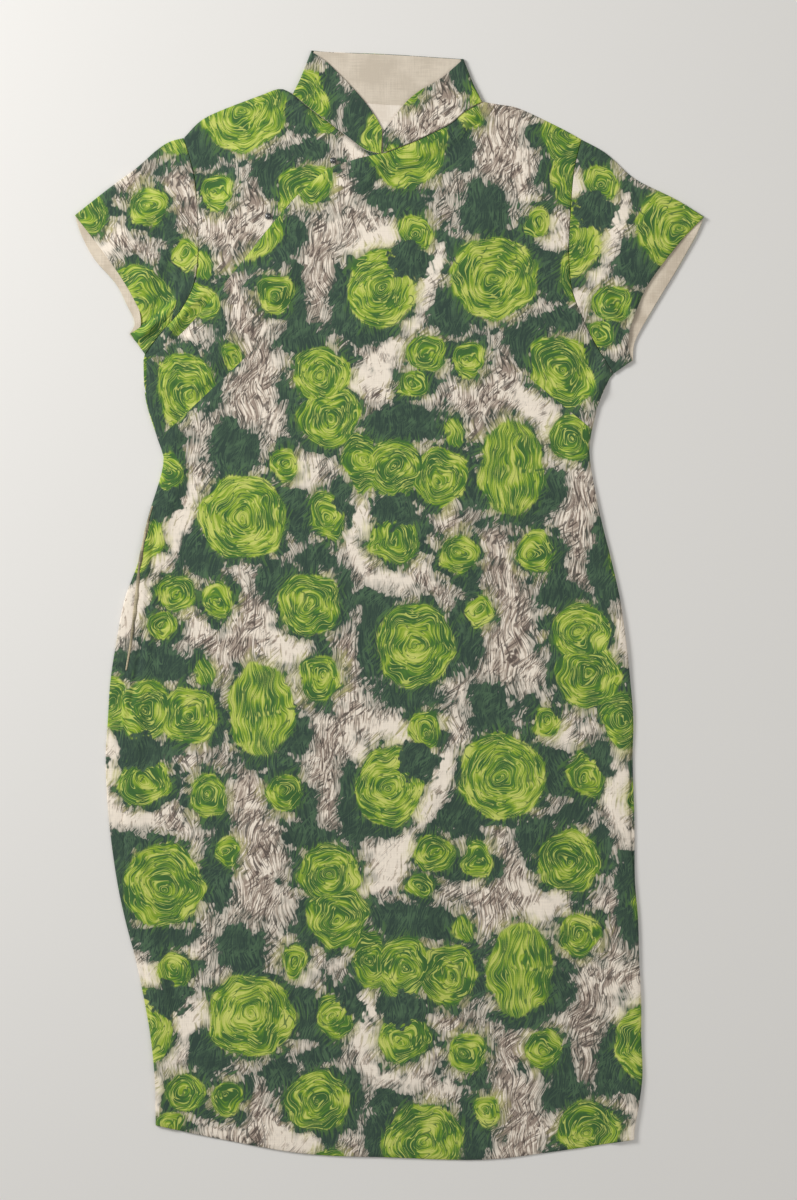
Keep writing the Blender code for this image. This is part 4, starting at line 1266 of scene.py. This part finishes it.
def make_small_front():
    grid = UNDERLAP_GRID
    points = raised(grid, underlap_layer(grid))
    points[..., 2] += swell(grid, 3.0) + turned_edge(grid, PLANS["underlap"], *UNDERLAP_TURN)
    return make_cloth("small_front", points, on_the_bolt(grid, "small_front"), ROSE_CLOTH)


def make_lining(name, grid, seed, uneven, material):
    """A facing or a lining: a sheet one layer up, with a share of the uneven swell."""
    points = raised(grid, 1)
    points[..., 2] += swell(grid, seed) * uneven
    return make_cloth(name, points, grid, material)


small_front = make_small_front()
neck_facing = make_lining("back_neck_facing", FACING_GRID, 11.0, 0.5, CREAM_LINING)

# %% [markdown]
# ## The big front
# One panel reaches from the hem to the left shoulder and closes over the right breast along a slanting
# edge, which is a folded hem. It has a long dart at each side of the bust. Where a dart takes up
# cloth, the print above it no longer meets the print below, so its two sides read the bolt in
# different places.

# %% Grid of the front
FRONT_CORNER_Y = 200.0
# Rows of the solid's own grid below the underarm and beside the armhole
BODY_SHARE, ARMHOLE_SHARE = 26, 10
# Shares of a panel's height over which its rows take on the shape of its top and of its hem
FRONT_TOP_REACH = 0.5
HEM_REACH = 0.2


def body_rows(low, high):
    """A panel's rows from shares of its side seam and shares of its armhole."""
    return np.concatenate([low * BODY_SHARE, BODY_SHARE + high[1:] * ARMHOLE_SHARE]) / (
        BODY_SHARE + ARMHOLE_SHARE
    )


def front_grid():
    top, columns = chain(
        (OPENING, OPENING_WEIGHT, shares(66, OPENING_LENGTH, end=False)),
        (NECK_LEFT, FRONT_NECK_WEIGHT, shares(24, LEFT_NECK_LENGTH, start=False, end=False)),
        (SHOULDER_LEFT, FRONT_SHOULDER_WEIGHT, shares(28, LEFT_SHOULDER_LENGTH, start=False)),
    )
    low = shares(150, FRONT_SIDE_LENGTH, end=False)
    high = shares(64, FRONT_ARMHOLE_LENGTH, start=False)
    rows = body_rows(low, high)
    left = side_line(FRONT_LEFT, HEM_LEFT_Y, FRONT_CORNER_Y, low)
    left = np.vstack([left, line_through((left[-1], OPENING[0]), high)[1:]])
    right = side_line(FRONT_RIGHT, HEM_RIGHT_Y, ARMHOLE_LEFT[-1][1], low)
    right[-1] = ARMHOLE_LEFT[-1]
    right = np.vstack([right, line_through(ARMHOLE_LEFT, 1 - high)[1:]])
    bottom = line_through(HEM, columns)
    return spread(left, right, bottom, top, rows, columns, FRONT_TOP_REACH, HEM_REACH)


def front_layer(points):
    """The layer that the big front lies in, with what is below it and its own creases."""
    below = [cover(points, PLANS[name]) for name in ("underlap", "left return", "right return")]
    below = np.maximum.reduce(below)
    return 1 + below + cover(points, PLANS["facing"]) + crease_height(points) / PITCH


# %% The front
FRONT_GRID = front_grid()
PLANS["front"] = outline_of(FRONT_GRID)

# Columns: name, side end x and y, tip x and y, how far the print above it is shifted at the side
DARTS = (
    ("right bust dart", -222, 155, -121, 250, -50, 12),
    ("left bust dart", 190.5, 168, 116.5, 229, -3, 19),
)
# Millimetres above a dart between which its shift of the print fades out
DART_FADE = (40.0, 130.0)


def above_the_darts(points):
    """Where points lie on the bolt above a dart, and how far above the dart they are. Points
    beyond the dart's tip have no shift."""
    bolt = points.copy()
    height = np.zeros(points.shape[:-1])
    for _, side_x, side_y, tip_x, tip_y, shift_x, shift_y in DARTS:
        run = np.array((side_x - tip_x, side_y - tip_y), float)
        length = np.linalg.norm(run)
        aside = np.array((-run[1], run[0])) / length
        aside = aside if aside[1] > 0 else -aside
        offset = points - (tip_x, tip_y)
        along = np.clip(offset @ run / length**2, 0, 1.2)
        above = offset @ aside
        fade = 1 - ease((above - DART_FADE[0]) / (DART_FADE[1] - DART_FADE[0]))
        bolt = bolt + (along * fade)[..., None] * (shift_x, shift_y)
        height = np.where(along > 0, above, height)
    return np.concatenate([bolt, height[..., None]], axis=-1)


def make_front():
    grid = FRONT_GRID
    points = raised(grid, front_layer(grid))
    points[..., 2] += swell(grid, 0.0) + turned_edge(grid, PLANS["front"], *FRONT_TURN)
    bolt = on_the_bolt(grid, "front")
    return make_cloth("front", points, bolt, FRONT_CLOTH, above_dart=above_the_darts(bolt))


front = make_front()

# %% The bound edge of the side placket
BINDING_TOP_Y, BINDING_FOOT_Y = 94.0, -62.0
BINDING_WIDTH = 3.2
BINDING_OVERHANG = 0.8
BINDING_BULGE = 1.0
# Shares of a half wave that its fullness follows, the fullness itself and how uneven it is, and
# the length of the unevenness in millimetres
BINDING_SPAN = (0.02, 0.98)
BINDING_FULLNESS, BINDING_UNEVEN = 0.9, 0.9
BINDING_UNEVEN_LENGTH = 13


def make_placket_binding():
    """A narrow strip of lining that binds the front's edge where the side opens. It is rounded
    over the edge and thins out at both ends."""
    y = np.linspace(BINDING_TOP_Y, BINDING_FOOT_Y, 120)
    across = np.linspace(0, 1, 9)
    fullness = np.sin(math.pi * np.linspace(*BINDING_SPAN, len(y))) ** 0.5
    uneven = [noise.noise((0.0, height / BINDING_UNEVEN_LENGTH, 31.0)) for height in y]
    fullness = fullness * (BINDING_FULLNESS + BINDING_UNEVEN * np.array(uneven))
    shift = fullness[:, None] * (across * BINDING_WIDTH - BINDING_OVERHANG)
    grid = np.stack([body_x(FRONT_LEFT, y)[:, None] + shift, y[:, None] + shift * 0], axis=-1)
    points = raised(grid, front_layer(grid))
    points[..., 2] += swell(grid, 0.0) + fullness[:, None] * BINDING_BULGE * np.sin(math.pi * across)
    return make_cloth("placket_binding", points, grid, PLACKET_BINDING)


placket_binding = make_placket_binding()

# %% [markdown]
# ## The back and its rolled sides
# The back is cut wider than the front below the bust, so its sides roll over onto the front. At the
# wearer's right a strip of it shows all along the hip, beside the placket.

# %% Grid of the back
BACK_TOP_REACH = 0.3
ROLL_STEPS = 8


def roll(inner, outward, low_layer, high_layer):
    """Points round a folded side, from the lower layer up to the higher. inner holds the rows'
    points where the roll starts."""
    low, high = layer_height(low_layer), layer_height(high_layer)
    radius = (high - low) / 2
    points = []
    for step in range(1, ROLL_STEPS):
        angle = math.pi * step / ROLL_STEPS
        flat = inner + outward * (radius * math.sin(angle))[..., None]
        height = low + radius * (1 - math.cos(angle))
        points.append(np.column_stack([flat, height]))
    return points


def columns_of(grid):
    return list(np.swapaxes(grid, 0, 1))


def rows_of(lines):
    """A grid from its columns."""
    return np.stack(lines, axis=1)


def roll_inset(layers):
    return layers * PITCH / 2 + CLOTH / 2


def back_grid():
    low = shares(96, BACK_SIDE_LENGTH, end=False)
    high = shares(30, ARMHOLE_LENGTH, start=False)
    rows = body_rows(low, high)
    left = side_line(BACK_LEFT, HEM_LEFT_Y, BACK_ARMHOLE_RIGHT[-1][1], low)
    right = side_line(BACK_RIGHT, HEM_RIGHT_Y, BACK_ARMHOLE_LEFT[-1][1], low)
    left[-1], right[-1] = BACK_ARMHOLE_RIGHT[-1], BACK_ARMHOLE_LEFT[-1]
    rolled = int((left[:, 1] < RETURN_TOP_Y).sum()) - 1
    left[: rolled + 1, 0] += roll_inset(1)
    right[: rolled + 1, 0] -= roll_inset(1)
    left = np.vstack([left, line_through(BACK_ARMHOLE_RIGHT, 1 - high)[1:]])
    right = np.vstack([right, line_through(BACK_ARMHOLE_LEFT, 1 - high)[1:]])
    top, columns = chain(
        (SHOULDER_RIGHT, BACK_SHOULDER_WEIGHT, shares(14, RIGHT_SHOULDER_LENGTH, end=False)),
        (BACK_NECK, BACK_NECK_WEIGHT, shares(26, BACK_NECK_LENGTH, start=False, end=False)),
        (SHOULDER_LEFT, BACK_SHOULDER_WEIGHT, shares(14, LEFT_SHOULDER_LENGTH, start=False)),
    )
    bottom = line_through(HEM, columns)
    return spread(left, right, bottom, top, rows, columns, BACK_TOP_REACH, HEM_REACH), rolled


# %% The back
RETURN_STEPS = 5
# Columns: the grid's column, the back's edge, the front's edge, which way is inward
BACK_SIDES = ((0, BACK_LEFT, FRONT_LEFT, 1), (-1, BACK_RIGHT, FRONT_RIGHT, -1))


def make_back():
    """The flat panel, with its side edges rolled over onto the front up to the bust."""
    grid, rolled = back_grid()
    sides = []
    for column, side, front_side, inward in BACK_SIDES:
        edge = grid[:, column]
        width = return_width(side, front_side, edge[:, 1])
        strip = []
        for step in range(RETURN_STEPS, -1, -1):
            shift = np.column_stack([inward * width * step / RETURN_STEPS, width * 0])
            strip.append(raised(edge + shift, 1))
        bend = roll(edge, np.array((-inward, 0.0)), np.zeros(len(edge)), np.ones(len(edge)))
        sides.append(strip + bend[::-1])
    flat = raised(grid, 0)
    points = rows_of(sides[0] + columns_of(flat) + sides[1][::-1])
    extra = len(sides[0])
    row, column = np.mgrid[0 : points.shape[0] - 1, 0 : points.shape[1] - 1]
    kept = (row < rolled) | ((column >= extra) & (column < extra + flat.shape[1] - 1))
    bolt = on_the_bolt(points[..., :2], "back")
    return make_cloth("back", points, bolt, ROSE_CLOTH, kept)


back = make_back()

# %% [markdown]
# ## Sleeves
# Each short sleeve is one piece folded along its top, with a seam under the arm. Its front layer stops
# short of its back layer at the cuff, so the cream facing inside shows as a narrow strip.

# %% Grids of the sleeves
# Shares of the way to the cuff: where the front layer starts to rise, and over which it does
SLEEVE_RISE_START = 0.35
SLEEVE_RISE = 0.35
# Columns beside the fold over which the uneven swell comes in
FOLD_COLUMNS = 6


def sleeve_grids(shape, front_armhole, back_armhole, outward, around, along):
    """Grids of a sleeve's two layers, from armhole to cuff and from the fold to the underarm."""
    grids = []
    for armhole, cuff in ((front_armhole, "front cuff"), (back_armhole, "back cuff")):
        seam = moved_aside(line_through(armhole, around), -SEAM * outward)
        hem = line_through(shape[cuff], around)
        fold = line_through(shape["top"], along)
        fold[0] = seam[0]
        under = seam[-1] + (hem[-1] - seam[-1]) * along[:, None]
        grids.append(spread(fold, under, seam, hem, along, around))
    return grids


def make_sleeve(name, shape, armholes, outward, panel_layer, seed):
    around = shares(70, ARMHOLE_LENGTH, start=False)
    along = shares(34, SLEEVE_LENGTH)
    front_part, back_part = sleeve_grids(shape, *armholes, outward, around, along)
    near = 1 - ease(2 * along)[:, None]
    rise = ease((along - SLEEVE_RISE_START) / SLEEVE_RISE)[:, None]
    folds = crease_height(front_part) / PITCH
    layers = 1 + (panel_layer(front_part[0])[None] - 1) * near + rise + folds * (1 - near)
    across = front_part[:, 1] - front_part[:, 0]
    across = across / np.linalg.norm(across, axis=1)[:, None]
    fold = front_part[:, 0] + across * roll_inset(layers[:, 0])[:, None]
    top = raised(front_part, layers)
    past_the_fold = ease(np.arange(len(around)) / FOLD_COLUMNS)[None]
    uneven = swell(front_part, seed)
    uneven = uneven + turned_edge(front_part, outline_of(front_part), *SLEEVE_TURN)
    top[..., 2] = np.maximum(top[..., 2] + uneven * past_the_fold, layer_height(1))
    bend = roll(fold, -across, np.zeros(len(along)), (top[:, 0, 2] - REST) / PITCH)
    start = np.column_stack([fold, top[:, 0, 2]])
    columns = columns_of(top)[:0:-1] + [start] + bend[::-1]
    columns += [raised(fold, 0)] + columns_of(raised(back_part, 0))[1:]
    points = rows_of(columns)
    return make_cloth(name, points, on_the_bolt(points[..., :2], name), ROSE_CLOTH)


# %% The sleeves
ARMHOLES_RIGHT = (ARMHOLE_RIGHT, BACK_ARMHOLE_RIGHT)
ARMHOLES_LEFT = (ARMHOLE_LEFT, BACK_ARMHOLE_LEFT)
sleeve_right = make_sleeve("sleeve_right", SLEEVE_RIGHT, ARMHOLES_RIGHT, 1, underlap_layer, 5.0)
sleeve_left = make_sleeve("sleeve_left", SLEEVE_LEFT, ARMHOLES_LEFT, -1, front_layer, 7.0)

# %% Facings inside the cuffs
# Shares of the solid facing's depth that the cloth covers, that depth as a share of the sleeve, and
# the first column after the fold
FACING_SPAN = (0.003, 0.93)
FACING_DEPTH = 2 / 7
FACING_START = 4


def make_sleeve_facing(name, shape, armholes, outward, seed):
    """The cuff's turned-up hem, on the sleeve's back layer."""
    around = shares(60, ARMHOLE_LENGTH)
    low, high = FACING_SPAN
    steps = 1 - FACING_DEPTH * (low + (high - low) * shares(8, CUFF_FACING_HEIGHT))
    along = np.concatenate([[0.0], steps[::-1], [1.0]])
    _, back_part = sleeve_grids(shape, *armholes, outward, around, along)
    # The facing takes the cream cloth painted darker as shade.
    return make_lining(name, back_part[-2:0:-1, FACING_START:], seed, 0.6, SHADED_SLEEVE_LINING)


facing_right = make_sleeve_facing("sleeve_facing_right", SLEEVE_RIGHT, ARMHOLES_RIGHT, 1, 13.0)
facing_left = make_sleeve_facing("sleeve_facing_left", SLEEVE_LEFT, ARMHOLES_LEFT, -1, 17.0)

# %% [markdown]
# ## The stand collar
# The collar is a stiff band that stands round the neck when worn. Laid flat, its back part lies
# open with the grey lining up, and its two ends fold forward over the shoulders and meet at the
# throat. It is one strip of printed cloth: right wing, back, left wing.

# %% Lines of the collar
# How far the ends of the collar's base are set in, in columns of its solid's own grid
WING_BASE_TRIM = 0.15
BACK_BASE_TRIM = 0.2
COLLAR_FOLD_LAYERS = 2.0
# Shares of the collar's height that its lining covers, and columns left free at each end
LINING_SPAN = (-0.02, 0.985)
LINING_TRIM = 2
# Share of the creases and the swell that the stiff collar takes on
COLLAR_UNEVEN = 0.5


def collar_lines():
    """Base and upper edge of the right wing, of the back part and of the left wing."""
    wing = shares(26, RIGHT_NECK_LENGTH)
    middle = shares(40, BACK_NECK_LENGTH)
    trim = BACK_BASE_TRIM / BACK_NECK_WEIGHT
    right_at = np.maximum(wing, WING_BASE_TRIM / UNDERLAP_NECK_WEIGHT)
    left_at = np.minimum(wing, 1 - WING_BASE_TRIM / FRONT_NECK_WEIGHT)
    middle_at = np.clip(middle, trim, 1 - trim)
    right = moved_aside(line_through(NECK_RIGHT, wing), SEAM)
    left = moved_aside(line_through(NECK_LEFT, wing), SEAM)
    centre = moved_aside(line_through(BACK_NECK, middle), SEAM)
    right[0] = line_through(NECK_RIGHT, right_at)[0]
    left[-1] = line_through(NECK_LEFT, left_at)[-1]
    centre[0] = line_through(BACK_NECK, middle_at)[0]
    centre[-1] = line_through(BACK_NECK, middle_at)[-1]
    edges = [line_through(points, at) for points, at in (
        (COLLAR_EDGE_RIGHT, wing), (COLLAR_EDGE_BACK, middle), (COLLAR_EDGE_LEFT, wing),
    )]
    return (right, edges[0]), (centre, edges[1]), (left, edges[2])


def square_to(start, end, turn):
    along = end - start
    side = np.array((-along[1], along[0])) * turn
    return side / np.linalg.norm(side)


def side_roll(upper, lower, outward):
    """Half round from lower points to upper ones, bulging outward."""
    centre, half = (upper + lower) / 2, (upper - lower) / 2
    points = []
    for step in range(1, ROLL_STEPS):
        angle = math.pi * step / ROLL_STEPS
        bulge = half[:, 2:] * math.sin(angle) * np.array((*outward, 0.0))
        points.append(centre - half * math.cos(angle) + bulge)
    return points


# %% The collar
def wing_points(lines, panel_layer, up, seed):
    base, edge = lines
    grid = base[None] + (edge - base)[None] * up[:, None, None]
    start = np.maximum(panel_layer(base), COLLAR_FOLD_LAYERS)[None]
    layers = start + (COLLAR_FOLD_LAYERS - start) * ease(up)[:, None]
    points = raised(grid, layers)
    points[..., 2] += swell(grid, seed) * COLLAR_UNEVEN + crease_height(grid) * COLLAR_UNEVEN
    points[..., 2] = np.maximum(points[..., 2], layer_height(COLLAR_FOLD_LAYERS))
    return points


def make_collar():
    right, middle, left = collar_lines()
    up = shares(20, COLLAR_HEIGHT)
    right_wing = wing_points(right, underlap_layer, up, 19.0)
    left_wing = wing_points(left, front_layer, up, 23.0)
    grid = middle[0][None] + (middle[1] - middle[0])[None] * up[:, None, None]
    centre = raised(grid, 0)
    out_right = square_to(right[0][0], right[1][0], 1)
    out_left = square_to(left[0][-1], left[1][-1], -1)
    columns = columns_of(right_wing)[::-1]
    columns += side_roll(right_wing[:, 0], centre[:, 0], out_right)[::-1]
    split_at = len(columns) + centre.shape[1] // 2
    columns += columns_of(centre)
    columns += side_roll(left_wing[:, -1], centre[:, -1], out_left)
    columns += columns_of(left_wing)[::-1]
    points = rows_of(columns)
    bolt = on_the_bolt(points[..., :2], "collar_right")
    bolt[:, split_at:] = on_the_bolt(points[:, split_at:, :2], "collar_left")
    return make_cloth("collar", points, bolt, ROSE_CLOTH)


def make_collar_lining():
    _, (base, edge), _ = collar_lines()
    up = LINING_SPAN[0] + (LINING_SPAN[1] - LINING_SPAN[0]) * shares(20, COLLAR_LINING_HEIGHT)
    grid = base[None] + (edge - base)[None] * up[:, None, None]
    return make_lining("collar_lining", grid[:, LINING_TRIM:-LINING_TRIM], 29.0, 0.6, GREY_LINING)


collar = make_collar()
collar_lining = make_collar_lining()

# %% [markdown]
# ## Press studs
# The opening closes with press studs, of which two show beside its slanting edge. Each is a small
# pressed disc with a raised ring round a hollow, sewn down with dark thread over its rim. Its other
# half is on the inside of the big front, and the two snap together.

# %% Turned studs
# Millimetres from the stud's middle and above its underside
STUD_PROFILE = (
    (0.0, 0.55), (0.5, 0.55), (0.72, 0.75), (0.86, 1.15), (1.1, 1.3), (1.4, 1.15), (1.58, 0.75),
    (1.85, 0.55), (2.5, 0.5), (2.85, 0.36), (3.0, 0.18), (3.0, 0.0), (0.0, 0.0),
)
STUD_STEPS = 40
MERGE_DISTANCE = 0.01
STUDS = (("press_stud_neck", -53.5, 421.5), ("press_stud_chest", -115.0, 369.0))


def make_stud(name, x, y):
    """A stud turned from its profile, seated on the small front."""
    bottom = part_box(name)[0].z / MM
    data = bpy.data.meshes.new(name)
    corners = [(across * MM, 0, up * MM) for across, up in STUD_PROFILE]
    data.from_pydata(corners, [(i, i + 1) for i in range(len(corners) - 1)], [])
    data.materials.append(STUD_METAL)
    stud = add_object(name + ".stud", data)
    stud.location = (x * MM, y * MM, bottom * MM)
    turn = stud.modifiers.new("turned", "SCREW")
    turn.steps = turn.render_steps = STUD_STEPS
    turn.use_merge_vertices = True
    turn.merge_threshold = MERGE_DISTANCE * MM
    print(stud.name, "is seated at", round(bottom, 2), "mm")
    return stud


studs = {name: make_stud(name, x, y) for name, x, y in STUDS}

# %% Stitches over the studs' rims
STITCHES_EACH = 4
THREADS_EACH = 3
THREAD_RADIUS = 0.13
# Radians from one thread to the next
THREAD_TURN = 0.13
# Distance from the stud's middle and height above its underside, along one stitch
STITCH_PATH = ((1.75, 0.5), (2.1, 0.78), (2.75, 0.62), (3.3, 0.22), (3.6, -0.1))


def make_stitches(name, x, y):
    """Groups of threads that pass over the rim of a stud and down into the cloth."""
    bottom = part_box(name)[0].z / MM
    curve = bpy.data.curves.new(name + ".stitches", "CURVE")
    curve.dimensions = "3D"
    curve.bevel_depth = THREAD_RADIUS * MM
    curve.bevel_resolution = 2
    curve.use_fill_caps = True
    for stitch in range(STITCHES_EACH):
        for thread in range(THREADS_EACH):
            angle = math.tau * (stitch + 0.5) / STITCHES_EACH + (thread - 1) * THREAD_TURN
            spline = curve.splines.new("POLY")
            spline.points.add(len(STITCH_PATH) - 1)
            for point, (out, up) in zip(spline.points, STITCH_PATH):
                point.co = (out * math.cos(angle) * MM, out * math.sin(angle) * MM, up * MM, 1.0)
    curve.materials.append(DARK_THREAD)
    stitches = add_object(name + ".stitches", curve)
    stitches.location = (x * MM, y * MM, bottom * MM)
    return stitches


stitches = [make_stitches(name, x, y) for name, x, y in STUDS]
print("stitches over each stud:", STITCHES_EACH)

# %% [markdown]
# ## Attaching the cloth
# Each piece rides on the dress's one body and stands in for its solid, which is hidden.


# Columns: node, piece, slot, how it is held, what it rests on, width and length of its cut in metres
CLOTHS = (
    ("back", back, "printed_cloth", "laid", ("floor",), 0.54, 1.02),
    ("front", front, "printed_cloth", "laid", ("back.cloth",), 0.49, 1.01),
    ("small_front", small_front, "printed_cloth", "laid", ("back.cloth",), 0.23, 0.29),
    ("sleeve_right", sleeve_right, "printed_cloth", "folded", ("floor",), 0.45, 0.13),
    ("sleeve_left", sleeve_left, "printed_cloth", "folded", ("floor",), 0.45, 0.13),
    ("sleeve_facing_right", facing_right, "cream_lining", "laid", ("sleeve_right.cloth",), 0.17, 0.028),
    ("sleeve_facing_left", facing_left, "cream_lining", "laid", ("sleeve_left.cloth",), 0.17, 0.028),
    ("collar", collar, "printed_cloth", "folded", ("floor",), 0.4, 0.055),
    ("collar_lining", collar_lining, "grey_lining", "laid", ("collar.cloth",), 0.18, 0.05),
    ("back_neck_facing", neck_facing, "cream_lining", "laid", ("back.cloth",), 0.17, 0.07),
)
for node, piece, slot, held, rests_on, width, length in CLOTHS:
    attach(piece, "root")
    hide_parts(node)
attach(placket_binding, "root")
for name, stud in studs.items():
    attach(stud, "root")
    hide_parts(name)
for sewing in stitches:
    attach(sewing, "root")
